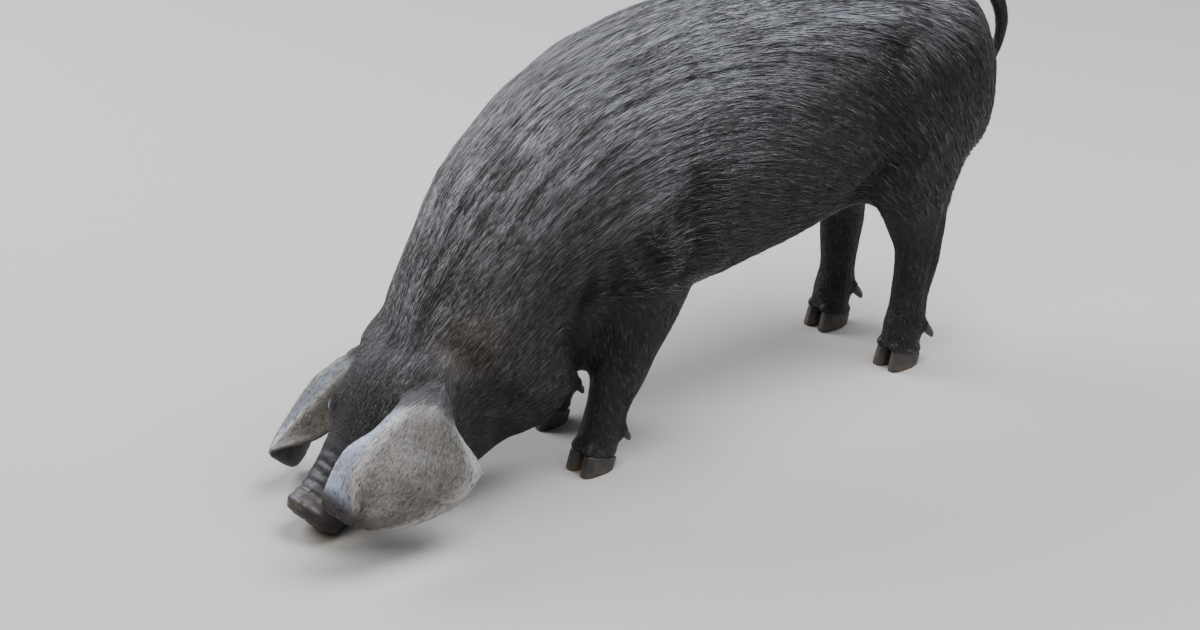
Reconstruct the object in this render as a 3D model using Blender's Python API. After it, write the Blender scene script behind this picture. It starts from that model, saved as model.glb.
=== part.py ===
"""A young black lop-eared pig, rooting with its snout on the floor: a still, life-size model.

Metres, +Z up. The pig faces -Y, its left side is at +X, and the floor is Z = 0.
Places on the body are given as (ahead of the hind feet, height above the floor, side towards the left).
The flesh is lofted and built up from muscles, fused into one closed form, and then parted by thin cuts.
"""

import math

import bmesh
import bpy
import numpy as np
from mathutils import Matrix, Vector

# ---- driving dimensions ----
WHEELBASE = 0.360  # from the hind feet to the fore feet
FORE_TRACK = 0.050  # from the middle line to a fore foot
HIND_TRACK = 0.054
FOOT_AHEAD = {  # how far each foot stands ahead of the left hind one
    ("fore", 1): WHEELBASE,
    ("fore", -1): WHEELBASE - 0.026,
    ("hind", 1): 0.0,
    ("hind", -1): -0.009,
}
SIDE_NAME = {1: "left", -1: "right"}

HEAD_PITCH = 40.0  # degrees the face points below the horizontal
HEAD_ROLL = 9.0  # degrees, left side down
HEAD_BASE = (0.504, 0.1155, 0.0)  # where the skull meets the neck
HEAD_LENGTH = 0.158  # from the base of the skull to the snout's disc
EYE_RADIUS = 0.0095
EYE_PLACE = (0.064, 0.014, 0.0375)  # along the head, above its axis, to the side
EAR_STEPS = 12  # rings from root to tip
EAR_SPANS = 3  # steps between one curve and the next
EAR_REACH = (0.06, 0.955)  # the part of each curve that is built
EAR_CURVES = {  # from each ear's root to its tip, front edge to rear edge, as (along the head, above, out)
    1: {
        "front": ((0.018, 0.034, 0.024), (0.046, 0.044, 0.059), (0.156, 0.109, 0.037), (0.145, 0.051, 0.075)),
        "fold": ((0.010, 0.034, 0.034), (0.050, 0.050, 0.076), (0.079, 0.088, 0.050), (0.145, 0.048, 0.078)),
        "back": ((-0.004, 0.026, 0.044), (0.014, 0.056, 0.067), (0.090, 0.023, 0.128), (0.144, 0.045, 0.081)),
        "rear": ((-0.004, 0.002, 0.05), (0.057, 0.064, 0.08), (-0.008, -0.126, 0.128), (0.144, 0.042, 0.083)),
    },
    -1: {
        "front": ((0.006, 0.006, 0.03), (0.034, -0.028, 0.053), (0.09, -0.039, 0.058), (0.126, -0.004, 0.08)),
        "fold": ((-0.008, 0.018, 0.034), (0.003, 0.0, 0.06), (0.097, -0.017, 0.095), (0.127, -0.006, 0.083)),
        "back": ((-0.01, 0.02, 0.04), (0.02, 0.008, 0.078), (0.079, -0.023, 0.119), (0.128, -0.011, 0.086)),
        "rear": ((-0.012, 0.004, 0.046), (0.04, 0.054, 0.095), (0.104, -0.162, 0.125), (0.13, -0.016, 0.087)),
    },
}

PART_GAP = 0.0005  # width of the thin cuts between the named parts
FORE_ELBOW = (0.294, 0.178)  # ahead, height
FORE_KNEE = 0.072  # heights of the cuts through the legs
HIND_HOCK = 0.118
HAM_CUT_SLOPE = 35.7  # degrees, from the flank up to the root of the tail
NECK_CUT = (0.390, 0.190)  # a point on the cut between neck and trunk
NECK_CUT_SLOPE = 40.0
SKULL_CUT = -0.016  # along the head
SNOUT_CUT = 0.096
CORONET = 0.0165  # height at the middle of a foot where horn meets hide
CORONET_RISE = 0.30  # its rise towards the toe

FUSE_VOXEL = 0.0055
EAR_VOXEL = 0.0011
EAR_TRIANGLES = 520
FLESH_TRIANGLES = 3700
TRUNK_SMOOTH_FROM = 0.13  # above this height the flesh is smoothed more
TRUNK_SMOOTH_BLEND = 0.06
THROAT_SMOOTH = (0.388, 0.500)  # and between these, ahead of the hind feet

BLACK_HIDE = (0.018, 0.018, 0.021)
GREY_HIDE = (0.060, 0.060, 0.068)
HORN = (0.070, 0.062, 0.055)
EYE_BROWN = (0.020, 0.010, 0.006)


# ---- places and small tools ----
def world(ahead, height, side):
    return Vector((side, -ahead, height))


def head_matrix():
    pitch = Matrix.Rotation(math.radians(HEAD_PITCH), 4, "X")
    roll = Matrix.Rotation(math.radians(HEAD_ROLL), 4, "Y")
    return Matrix.Translation(world(*HEAD_BASE)) @ pitch @ roll


HEAD = head_matrix()


def on_head(along, above, side):
    """A place given along the skull's axis from its base, above the axis, and to the left."""
    return HEAD @ Vector((side, -along, above))


def clear_scene():
    for obj in list(bpy.data.objects):
        bpy.data.objects.remove(obj, do_unlink=True)


def make_material(name, colour, roughness):
    mat = bpy.data.materials.new(name)
    mat.use_nodes = True
    shader = mat.node_tree.nodes["Principled BSDF"]
    shader.inputs["Base Color"].default_value = (*colour, 1.0)
    shader.inputs["Roughness"].default_value = roughness
    shader.inputs["Metallic"].default_value = 0.0
    mat.diffuse_color = (*colour, 1.0)
    return mat


def add_object(name, bm, mat=None):
    mesh = bpy.data.meshes.new(name)
    bm.to_mesh(mesh)
    bm.free()
    obj = bpy.data.objects.new(name, mesh)
    bpy.context.scene.collection.objects.link(obj)
    if mat:
        mesh.materials.append(mat)
    return obj


def smooth_rows(rows, steps):
    """Reads rows of numbers along a smooth curve through them, with so many steps to each span."""
    rows = np.array(rows, float)
    last = len(rows) - 1
    out = []
    for i in range(last):
        before, here = rows[max(i - 1, 0)], rows[i]
        there, after = rows[i + 1], rows[min(i + 2, last)]
        for k in range(steps):
            t = k / steps
            out.append(
                here
                + 0.5 * t * (there - before)
                + 0.5 * t**2 * (2 * before - 5 * here + 4 * there - after)
                + 0.5 * t**3 * (3 * here - before - 3 * there + after)
            )
    out.append(rows[last])
    return np.array(out)


def skin_rings(bm, rings):
    """Joins rings of points into one closed body, with a fan at each end."""
    verts = [[bm.verts.new(p) for p in ring] for ring in rings]
    count = len(verts[0])
    for lower, upper in zip(verts, verts[1:]):
        for i in range(count):
            j = (i + 1) % count
            bm.faces.new((lower[i], lower[j], upper[j], upper[i]))
    for ring, first in ((verts[0], True), (verts[-1], False)):
        middle = bm.verts.new(sum((v.co for v in ring), Vector()) / count)
        for i in range(count):
            j = (i + 1) % count
            bm.faces.new((ring[j], ring[i], middle) if first else (ring[i], ring[j], middle))
    bmesh.ops.recalc_face_normals(bm, faces=bm.faces)


def body_loft(bm, stations, place=world, steps=5, count=28, fullness=2.2):
    """Rings across a path in the middle plane. A station is (ahead, height, half width, rise, drop):
    rise and drop are the ring's reach from the path to the back and to the belly."""
    rows = smooth_rows(stations, steps)
    along = np.gradient(rows[:, :2], axis=0)
    along /= np.linalg.norm(along, axis=1)[:, None]
    rings = []
    for (ahead, height, half_width, rise, drop), (a, h) in zip(rows, along):
        ring = []
        for i in range(count):
            turn = 2 * math.pi * i / count
            c, s = math.cos(turn), math.sin(turn)
            across = math.copysign(abs(c) ** (2 / fullness), c) * half_width
            reach = math.copysign(abs(s) ** (2 / fullness), s) * (rise if s > 0 else drop)
            ring.append(place(ahead - h * reach, height + a * reach, across))
        rings.append(ring)
    skin_rings(bm, rings)


def limb_loft(bm, stations, steps=4, count=18):
    """A leg or tail. A station is (ahead, height, side, fore-and-aft radius, sideways radius)."""
    rows = smooth_rows(stations, steps)
    points = [world(*row[:3]) for row in rows]
    rings = []
    for i, row in enumerate(rows):
        along = (points[min(i + 1, len(rows) - 1)] - points[max(i - 1, 0)]).normalized()
        side = Vector((1, 0, 0))
        side = (side - along * side.dot(along)).normalized()
        fore = side.cross(along)
        ring = []
        for k in range(count):
            turn = 2 * math.pi * k / count
            ring.append(points[i] + side * math.cos(turn) * row[4] + fore * math.sin(turn) * row[3])
        rings.append(ring)
    skin_rings(bm, rings)


def muscle(bm, centre, radii, tilt=0.0, splay=0.0, frame=None):
    """An egg of flesh at (ahead, height, side), with radii in that order, nose-down by tilt degrees
    and its front turned outwards by splay degrees."""
    made = bmesh.ops.create_uvsphere(bm, u_segments=20, v_segments=12, radius=1.0)["verts"]
    size = Matrix.Diagonal((radii[2], radii[0], radii[1], 1.0))
    outwards = math.copysign(splay, splay * centre[2]) if centre[2] else splay
    turn = Matrix.Rotation(math.radians(outwards), 4, "Z") @ Matrix.Rotation(math.radians(tilt), 4, "X")
    shift = Matrix.Translation(world(*centre))
    bmesh.ops.transform(bm, matrix=(frame or Matrix.Identity(4)) @ shift @ turn @ size, verts=made)


# ---- flesh ----
def add_trunk(bm):
    body_loft(bm, [
        (-0.112, 0.296, 0.030, 0.034, 0.045),
        (-0.095, 0.290, 0.056, 0.066, 0.070),
        (-0.055, 0.282, 0.075, 0.096, 0.088),
        (0.005, 0.277, 0.082, 0.112, 0.102),
        (0.072, 0.272, 0.086, 0.125, 0.115),
        (0.145, 0.264, 0.089, 0.133, 0.122),
        (0.215, 0.254, 0.089, 0.140, 0.122),
        (0.280, 0.243, 0.085, 0.141, 0.120),
        (0.338, 0.226, 0.077, 0.136, 0.120),
        (0.388, 0.202, 0.068, 0.123, 0.124),
        (0.430, 0.174, 0.062, 0.103, 0.122),
        (0.466, 0.148, 0.058, 0.078, 0.105),
        (0.498, 0.124, 0.048, 0.055, 0.078),
    ])


def add_head(bm):
    body_loft(bm, [
        (-0.036, -0.008, 0.040, 0.038, 0.050),
        (-0.012, -0.004, 0.050, 0.049, 0.060),
        (0.014, -0.002, 0.054, 0.052, 0.061),
        (0.044, -0.004, 0.051, 0.046, 0.053),
        (0.070, -0.007, 0.043, 0.036, 0.043),
        (0.094, -0.008, 0.0360, 0.0290, 0.0350),
        (0.118, -0.007, 0.0305, 0.0240, 0.0285),
        (0.138, -0.005, 0.0275, 0.0215, 0.0240),
        (HEAD_LENGTH - 0.010, -0.003, 0.0280, 0.0235, 0.0225),
        (HEAD_LENGTH - 0.002, -0.002, 0.0275, 0.0235, 0.0215),
        (HEAD_LENGTH, -0.002, 0.0240, 0.0205, 0.0185),
    ], place=on_head)
    muscle(bm, (0.104, -0.034, 0.0), (0.038, 0.013, 0.017), tilt=-4, frame=HEAD)
    for side in (1, -1):
        muscle(bm, (0.026, -0.030, side * 0.032), (0.046, 0.036, 0.025), tilt=8, frame=HEAD)
        muscle(bm, (0.055, 0.021, side * 0.033), (0.024, 0.012, 0.013), tilt=14, frame=HEAD)
        muscle(bm, (-0.004, 0.028, side * 0.038), (0.022, 0.018, 0.016), frame=HEAD)
        muscle(bm, (-0.034, -0.046, side * 0.028), (0.050, 0.050, 0.032), tilt=-20, frame=HEAD)
        muscle(bm, (0.006, -0.050, side * 0.036), (0.056, 0.038, 0.024), tilt=-8, frame=HEAD)


def add_throat(bm):
    """The loose throat and dewlap that hang while the head is down."""
    for side in (1, -1):
        muscle(bm, (0.426, 0.106, side * 0.018), (0.062, 0.066, 0.048), tilt=34)


def add_foreleg(bm, side):
    foot = FOOT_AHEAD["fore", side]
    step = WHEELBASE - foot
    muscle(bm, (0.306, 0.252, side * 0.050), (0.058, 0.088, 0.034), tilt=-20)
    muscle(bm, (0.300, 0.192, side * 0.056), (0.050, 0.046, 0.026), tilt=25)
    muscle(bm, (0.262, 0.190, side * 0.060), (0.020, 0.030, 0.017), tilt=20)
    limb_loft(bm, [
        (0.318, 0.224, side * 0.046, 0.048, 0.028),
        (0.298 - 0.1 * step, 0.178, side * 0.054, 0.044, 0.028),
        (0.304 - 0.3 * step, 0.142, side * 0.054, 0.036, 0.0250),
        (0.320 - 0.5 * step, 0.108, side * 0.052, 0.0290, 0.0220),
        (0.333 - 0.7 * step, 0.080, side * 0.051, 0.0260, 0.0215),
        (0.343 - 0.8 * step, 0.056, side * FORE_TRACK, 0.0205, 0.0185),
        (foot - 0.011, 0.036, side * FORE_TRACK, 0.0205, 0.0200),
        (foot - 0.004, 0.022, side * FORE_TRACK, 0.0190, 0.0185),
        (foot, 0.010, side * FORE_TRACK, 0.0180, 0.0175),
    ])


def add_hindleg(bm, side):
    foot = FOOT_AHEAD["hind", side]
    muscle(bm, (-0.042, 0.274, side * 0.050), (0.064, 0.094, 0.042), tilt=6)
    muscle(bm, (0.006, 0.216, side * 0.056), (0.052, 0.058, 0.028), tilt=-20)
    muscle(bm, (-0.040, 0.120, side * 0.054), (0.011, 0.018, 0.011), tilt=-10)
    limb_loft(bm, [
        (-0.020, 0.270, side * 0.050, 0.060, 0.036),
        (-0.014, 0.214, side * 0.056, 0.056, 0.033),
        (-0.012 + 0.2 * foot, 0.168, side * 0.056, 0.044, 0.027),
        (-0.018 + 0.4 * foot, 0.134, side * 0.055, 0.031, 0.0215),
        (-0.019 + 0.6 * foot, 0.106, side * 0.055, 0.0255, 0.0195),
        (-0.014 + 0.8 * foot, 0.078, side * 0.054, 0.0205, 0.0175),
        (-0.010 + foot, 0.054, side * HIND_TRACK, 0.0195, 0.0175),
        (-0.006 + foot, 0.036, side * HIND_TRACK, 0.0205, 0.0195),
        (-0.002 + foot, 0.022, side * HIND_TRACK, 0.0190, 0.0185),
        (foot, 0.010, side * HIND_TRACK, 0.0180, 0.0175),
    ])


def add_tail(bm):
    limb_loft(bm, [
        (-0.066, 0.344, 0.000, 0.0170, 0.0170),
        (-0.096, 0.351, 0.002, 0.0125, 0.0125),
        (-0.122, 0.346, 0.008, 0.0090, 0.0090),
        (-0.141, 0.328, 0.016, 0.0072, 0.0072),
        (-0.148, 0.304, 0.021, 0.0062, 0.0062),
        (-0.146, 0.282, 0.021, 0.0052, 0.0052),
        (-0.140, 0.264, 0.018, 0.0042, 0.0042),
    ], steps=3, count=10)


def broad_form_share(point):
    """1 on the trunk and the throat, which are smoothed most, and 0 on the head, legs and feet."""
    ahead = -point.y
    trunk = min(max((point.z - TRUNK_SMOOTH_FROM) / TRUNK_SMOOTH_BLEND, 0.0), 1.0)
    throat = min((ahead - THROAT_SMOOTH[0]) / 0.02, (THROAT_SMOOTH[1] - ahead) / 0.04, 1.0)
    return max(trunk, throat)


def fuse(obj, voxel, triangles):
    """Makes one closed form round all that obj holds, smoothed most on the trunk, with so many triangles."""
    remesh(obj, voxel)
    everywhere = obj.modifiers.new("smooth", "SMOOTH")
    everywhere.factor = 0.5
    everywhere.iterations = 6
    broad = obj.vertex_groups.new(name="broad")
    for vert in obj.data.vertices:
        broad.add([vert.index], broad_form_share(vert.co), "REPLACE")
    broad_only = obj.modifiers.new("smooth broad forms", "SMOOTH")
    broad_only.factor = 0.5
    broad_only.iterations = 40
    broad_only.vertex_group = "broad"
    thin(obj, triangles)
    obj.vertex_groups.clear()


def remesh(obj, voxel):
    """Makes one closed surface, in even squares, round all that obj holds."""
    modifier = obj.modifiers.new("remesh", "REMESH")
    modifier.mode = "VOXEL"
    modifier.voxel_size = voxel
    apply_modifiers(obj)


def keep_largest(obj):
    """Drops the crumbs that remeshing can leave inside a sheet."""
    bm = bmesh.new()
    bm.from_mesh(obj.data)
    left = set(bm.verts)
    bodies = []
    while left:
        body, edge_of_body = set(), {left.pop()}
        while edge_of_body:
            body |= edge_of_body
            edge_of_body = {e.other_vert(v) for v in edge_of_body for e in v.link_edges} - body
        left -= body
        bodies.append(body)
    bodies.sort(key=len)
    for body in bodies[:-1]:
        bmesh.ops.delete(bm, geom=list(body), context="VERTS")
    bm.to_mesh(obj.data)
    bm.free()


def thin(obj, triangles):
    modifier = obj.modifiers.new("thin", "DECIMATE")
    modifier.ratio = triangles / (2 * len(obj.data.polygons))
    apply_modifiers(obj)


def apply_modifiers(obj):
    graph = bpy.context.evaluated_depsgraph_get()
    made = bpy.data.meshes.new_from_object(obj.evaluated_get(graph))
    obj.modifiers.clear()
    old = obj.data
    obj.data = made
    bpy.data.meshes.remove(old)


def build_flesh():
    bm = bmesh.new()
    add_trunk(bm)
    add_head(bm)
    add_throat(bm)
    for side in (1, -1):
        add_foreleg(bm, side)
        add_hindleg(bm, side)
    flesh = add_object("flesh", bm)
    fuse(flesh, FUSE_VOXEL, FLESH_TRIANGLES)
    return flesh


# ---- parting the flesh into named pieces ----
def box_cutter(centre, half_sizes, tilt=0.0, frame=None):
    """A box to cut with: centre and half sizes are (ahead, height, side), nose-down by tilt degrees."""
    bm = bmesh.new()
    bmesh.ops.create_cube(bm, size=2.0)
    size = Matrix.Diagonal((half_sizes[2], half_sizes[0], half_sizes[1], 1.0))
    turn = Matrix.Rotation(math.radians(tilt), 4, "X")
    place = (frame or Matrix.Identity(4)) @ Matrix.Translation(world(*centre)) @ turn @ size
    bmesh.ops.transform(bm, matrix=place, verts=bm.verts)
    return add_object("cutter", bm)


def ball_cutter(centre, radius):
    bm = bmesh.new()
    bmesh.ops.create_uvsphere(bm, u_segments=12, v_segments=7, radius=radius)
    bmesh.ops.translate(bm, vec=centre, verts=bm.verts)
    return add_object("cutter", bm)


def copy_object(obj, name):
    twin = bpy.data.objects.new(name, obj.data.copy())
    bpy.context.scene.collection.objects.link(twin)
    return twin


def grown_copy(obj, distance):
    """A copy of obj with its surface moved out, to cut a neighbour that keeps this gap."""
    twin = copy_object(obj, "cutter")
    bm = bmesh.new()
    bm.from_mesh(twin.data)
    bm.normal_update()
    for vert, normal in [(v, v.normal.copy()) for v in bm.verts]:
        vert.co += normal * distance
    bm.to_mesh(twin.data)
    bm.free()
    return twin


def cut(obj, cutter, operation="DIFFERENCE"):
    boolean = obj.modifiers.new("cut", "BOOLEAN")
    boolean.operation = operation
    boolean.solver = "EXACT"
    boolean.object = cutter
    apply_modifiers(obj)
    bpy.data.objects.remove(cutter, do_unlink=True)


def part_off(flesh, name, centre, half_sizes, tilt=0.0, frame=None):
    """Takes the flesh inside a box away as a piece of its own, with a thin gap all round."""
    piece = copy_object(flesh, name)
    cut(piece, box_cutter(centre, half_sizes, tilt, frame), "INTERSECT")
    wider = [half + PART_GAP for half in half_sizes]
    cut(flesh, box_cutter(centre, wider, tilt, frame))
    return piece


def part_foreleg(flesh, side):
    """The leg from the elbow down, then its cannon and foot from the knee down. Returns the lower piece."""
    foot = FOOT_AHEAD["fore", side]
    elbow_ahead, elbow_height = FORE_ELBOW
    lean = math.degrees(math.atan2(foot - elbow_ahead, elbow_height))
    middle = ((foot + elbow_ahead) / 2, elbow_height / 2, side * 0.067)
    leg = part_off(flesh, "foreleg_upper_" + SIDE_NAME[side], middle, (0.045, 0.092, 0.045), -lean)
    below_knee = (foot + 0.010, FORE_KNEE - 0.1, side * 0.067)
    return part_off(leg, "foreleg_lower_" + SIDE_NAME[side], below_knee, (0.030, 0.1, 0.06), -lean)


def part_hindleg(flesh, side):
    """The leg with the lower ham, then its cannon and foot from the hock down. Returns the lower piece."""
    ham = (-0.142, 0.070, side * 0.066)
    leg = part_off(flesh, "hindleg_upper_" + SIDE_NAME[side], ham, (0.190, 0.200, 0.060), HAM_CUT_SLOPE)
    below_hock = (0.0, HIND_HOCK - 0.1, side * 0.067)
    return part_off(leg, "hindleg_lower_" + SIDE_NAME[side], below_hock, (0.12, 0.1, 0.06))


def part_head(flesh):
    """The neck, then the head off its front end, then the snout. Returns the head."""
    reach = 0.2
    slope = math.radians(NECK_CUT_SLOPE)
    neck_box = (NECK_CUT[0] + reach * math.cos(slope), NECK_CUT[1] - reach * math.sin(slope), 0.0)
    neck = part_off(flesh, "neck", neck_box, (reach, 0.2, 0.15), NECK_CUT_SLOPE)
    head = part_off(neck, "head", (SKULL_CUT + reach, 0.0, 0.0), (reach, 0.15, 0.15), frame=HEAD)
    part_off(head, "snout", (SNOUT_CUT + reach, 0.0, 0.0), (reach, 0.15, 0.15), frame=HEAD)
    return head


# ---- feet ----
def coronet_height(ahead_of_foot):
    """The slanting line where horn meets hide, higher at the toe."""
    return CORONET + CORONET_RISE * ahead_of_foot


def end_at_coronet(leg, ahead, across):
    """Ends the flesh of a leg along the coronet, above its claws."""
    slope = math.atan(CORONET_RISE)
    depth = 0.05
    centre = (ahead + depth * math.sin(slope), CORONET - depth * math.cos(slope), across)
    cut(leg, box_cutter(centre, (0.08, depth, 0.05), -math.degrees(slope)))


def build_claw(name, ahead, side_place, turn_out, mat):
    """One half of the cloven foot: flat below, its wall sloping back to the coronet."""
    half_width, toe, heel = 0.0083, 0.0205, 0.0160
    rings = []
    for level in (0.0, 0.12, 0.6, 1.0):
        shrink = 1.0 - 0.05 * level - (0.05 if level == 0.0 else 0.0)
        lean_back = 0.0050 * level
        ring = []
        for k in range(12):
            turn = 2 * math.pi * (k + 0.5) / 12
            reach = toe if math.sin(turn) > 0 else heel
            fore = math.sin(turn) * reach * shrink - lean_back
            across = math.copysign(abs(math.cos(turn)) ** 0.7, math.cos(turn)) * half_width * shrink
            point = Vector((across, -fore, 0.0))
            point.rotate(Matrix.Rotation(math.radians(turn_out), 3, "Z"))
            height = level * (coronet_height(fore) - PART_GAP)
            ring.append(Vector((side_place, -ahead, 0.0)) + point + Vector((0.0, 0.0, height)))
        rings.append(ring)
    bm = bmesh.new()
    skin_rings(bm, rings)
    return add_object(name, bm, mat)


def build_dewclaw(name, ahead, height, side_place, leg, mat):
    """A small horn behind the foot, pointing down and back."""
    bm = bmesh.new()
    limb_loft(bm, [
        (ahead + 0.006, height + 0.006, side_place, 0.0046, 0.0050),
        (ahead - 0.001, height, side_place, 0.0048, 0.0052),
        (ahead - 0.006, height - 0.006, side_place, 0.0034, 0.0042),
        (ahead - 0.008, height - 0.010, side_place, 0.0016, 0.0022),
    ], steps=1, count=6)
    dewclaw = add_object(name, bm, mat)
    cut(dewclaw, grown_copy(leg, PART_GAP))
    return dewclaw


def build_foot(leg, which, side, track, mat):
    ahead = FOOT_AHEAD[which, side]
    end_at_coronet(leg, ahead, side * track)
    for place, outer in (("inner", -1), ("outer", 1)):
        label = "_".join((which, SIDE_NAME[side], place))
        across = side * (track + outer * 0.0089)
        build_claw("claw_" + label, ahead, across, side * outer * 5.0, mat)
        dewclaw_across = side * (track + outer * 0.0115)
        build_dewclaw("dewclaw_" + label, ahead - 0.0245, 0.033, dewclaw_across, leg, mat)


# ---- ears, eyes and tail ----
def bezier(points, t):
    a, b, c, d = points
    return (1 - t) ** 3 * a + 3 * t * (1 - t) ** 2 * b + 3 * t**2 * (1 - t) * c + t**3 * d


def build_ear(side, flesh, mat):
    """A broad lop ear: a leaf between a front edge and a rear edge, hanging forward beside the face."""
    curves = [
        [on_head(along, above, side * out) for along, above, out in EAR_CURVES[side][name]]
        for name in ("front", "fold", "back", "rear")
    ]
    rings = []
    for i in range(EAR_STEPS):
        u = EAR_REACH[0] + (EAR_REACH[1] - EAR_REACH[0]) * i / (EAR_STEPS - 1)
        across = [Vector(row) for row in smooth_rows([bezier(curve, u) for curve in curves], EAR_SPANS)]
        lengthwise = bezier(curves[1], u + 0.02) - bezier(curves[1], u)
        last = len(across) - 1
        outside, inside = [], []
        for k, spot in enumerate(across):
            chord = across[min(k + 1, last)] - across[max(k - 1, 0)]
            out = lengthwise.cross(chord).normalized() * side
            arch = math.sin(math.pi * k / last)
            half = 0.0010 + 0.0010 * math.sqrt(max(arch, 0.0)) * min(1.0, 5 * (1 - u))
            outside.append(spot + out * half)
            inside.append(spot - out * half)
        rings.append(outside + inside[::-1])
    bm = bmesh.new()
    skin_rings(bm, rings)
    ear = add_object("ear_" + SIDE_NAME[side], bm, mat)
    remesh(ear, EAR_VOXEL)
    keep_largest(ear)
    thin(ear, EAR_TRIANGLES)
    cut(ear, grown_copy(flesh, PART_GAP))
    return ear


def build_eye(side, head, mat):
    centre = on_head(*EYE_PLACE[:2], side * EYE_PLACE[2])
    cut(head, ball_cutter(centre, EYE_RADIUS + PART_GAP))
    eye = ball_cutter(centre, EYE_RADIUS)
    eye.name = "eye_" + SIDE_NAME[side]
    eye.data.materials.append(mat)


def build_tail(flesh, mat):
    bm = bmesh.new()
    add_tail(bm)
    tail = add_object("tail", bm, mat)
    cut(tail, grown_copy(flesh, PART_GAP))


def rest_on_floor(obj):
    """Cuts off what would lie under the floor, which leaves a small flat."""
    cut(obj, box_cutter((0.3, -0.1, 0.0), (1.0, 0.1, 1.0)))


def build_pig():
    hide = make_material("black hide", BLACK_HIDE, 0.6)
    ear_hide = make_material("grey ear skin", GREY_HIDE, 0.55)
    horn = make_material("dark horn", HORN, 0.45)
    eye_brown = make_material("brown eye", EYE_BROWN, 0.08)
    flesh = build_flesh()
    flesh.data.materials.append(hide)
    rest_on_floor(flesh)
    build_tail(flesh, hide)
    for side in (1, -1):
        build_ear(side, flesh, ear_hide)
        build_foot(part_foreleg(flesh, side), "fore", side, FORE_TRACK, horn)
        build_foot(part_hindleg(flesh, side), "hind", side, HIND_TRACK, horn)
    head = part_head(flesh)
    flesh.name = "trunk"
    for side in (1, -1):
        build_eye(side, head, eye_brown)


def centre_on_origin():
    """Hangs every piece on one empty, which puts the middle of the pig's floor plan at the origin."""
    pieces = list(bpy.data.objects)
    corners = [vert.co for piece in pieces for vert in piece.data.vertices]
    middle_x = (min(c.x for c in corners) + max(c.x for c in corners)) / 2
    middle_y = (min(c.y for c in corners) + max(c.y for c in corners)) / 2
    pig = bpy.data.objects.new("pig", None)
    bpy.context.scene.collection.objects.link(pig)
    pig.location = (-middle_x, -middle_y, 0.0)
    for piece in pieces:
        piece.parent = pig
        piece.data.shade_smooth()


clear_scene()
build_pig()
centre_on_origin()
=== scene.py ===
import math

import bmesh
import bpy
import numpy as np
from mathutils import Euler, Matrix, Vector
from mathutils.bvhtree import BVHTree


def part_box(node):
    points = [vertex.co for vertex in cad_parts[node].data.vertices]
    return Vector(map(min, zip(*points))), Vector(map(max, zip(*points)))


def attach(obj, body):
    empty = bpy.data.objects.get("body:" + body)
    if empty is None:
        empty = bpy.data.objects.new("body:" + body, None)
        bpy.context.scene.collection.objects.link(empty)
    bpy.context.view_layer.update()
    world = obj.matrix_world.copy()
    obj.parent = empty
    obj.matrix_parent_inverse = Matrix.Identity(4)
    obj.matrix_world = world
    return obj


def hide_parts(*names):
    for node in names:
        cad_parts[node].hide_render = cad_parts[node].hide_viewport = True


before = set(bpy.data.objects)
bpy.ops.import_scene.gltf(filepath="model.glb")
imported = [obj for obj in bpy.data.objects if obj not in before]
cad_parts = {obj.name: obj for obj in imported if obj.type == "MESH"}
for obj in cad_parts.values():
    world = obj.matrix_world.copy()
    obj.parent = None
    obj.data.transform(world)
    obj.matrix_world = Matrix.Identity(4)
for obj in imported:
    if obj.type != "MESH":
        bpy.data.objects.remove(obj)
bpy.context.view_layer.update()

mm = 0.001


# small helpers

def linear(hexCode):
    # an sRGB hex colour as linear RGBA
    parts = [int(hexCode[i:i + 2], 16) / 255 for i in (0, 2, 4)]
    return [c / 12.92 if c <= 0.04045 else ((c + 0.055) / 1.055) ** 2.4 for c in parts] + [1.0]


def ramp(value, low, high):
    # 0 below low, 1 above high, eased between
    t = np.clip((value - low) / (high - low), 0.0, 1.0)
    return t * t * (3 - 2 * t)


def unit(rows):
    return rows / np.maximum(np.linalg.norm(rows, axis=-1, keepdims=True), 1e-9)


def across(rows, normals):
    # the part of each row that lies along the surface
    return rows - normals * (rows * normals).sum(axis=1, keepdims=True)


def readPoints(mesh):
    rows = np.empty(len(mesh.vertices) * 3)
    mesh.vertices.foreach_get("co", rows)
    return rows.reshape(-1, 3)


def writePoints(mesh, rows):
    mesh.vertices.foreach_set("co", rows.ravel())
    mesh.update()


def readNormals(mesh):
    rows = np.empty(len(mesh.vertices) * 3)
    mesh.vertex_normals.foreach_get("vector", rows)
    return rows.reshape(-1, 3)


def readEdges(mesh):
    pairs = np.empty(len(mesh.edges) * 2, dtype=np.int32)
    mesh.edges.foreach_get("vertices", pairs)
    return pairs.reshape(-1, 2)


def addMask(mesh, name, values):
    layer = mesh.attributes.get(name) or mesh.attributes.new(name, "FLOAT", "POINT")
    layer.data.foreach_set("value", np.asarray(values, dtype=np.float32))


def readMask(mesh, name):
    values = np.empty(len(mesh.vertices), dtype=np.float32)
    mesh.attributes[name].data.foreach_get("value", values)
    return values.astype(float)


def addObject(name, mesh):
    obj = bpy.data.objects.new(name, mesh)
    bpy.context.scene.collection.objects.link(obj)
    return obj


def applyModifiers(obj):
    dg = bpy.context.evaluated_depsgraph_get()
    mesh = bpy.data.meshes.new_from_object(obj.evaluated_get(dg))
    old = obj.data
    obj.modifiers.clear()
    obj.data = mesh
    bpy.data.meshes.remove(old)


def ripple(points, size, seed):
    # a smooth random field, about -1 to 1, with bumps of that size in metres
    draw = np.random.default_rng(seed)
    total = np.zeros(len(points))
    for _ in range(7):
        way = unit(draw.normal(size=3)) * (2 * math.pi / size) * draw.uniform(0.6, 1.5)
        total += np.sin(points @ way + draw.uniform(0, 2 * math.pi))
    return total / 3.2


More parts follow.
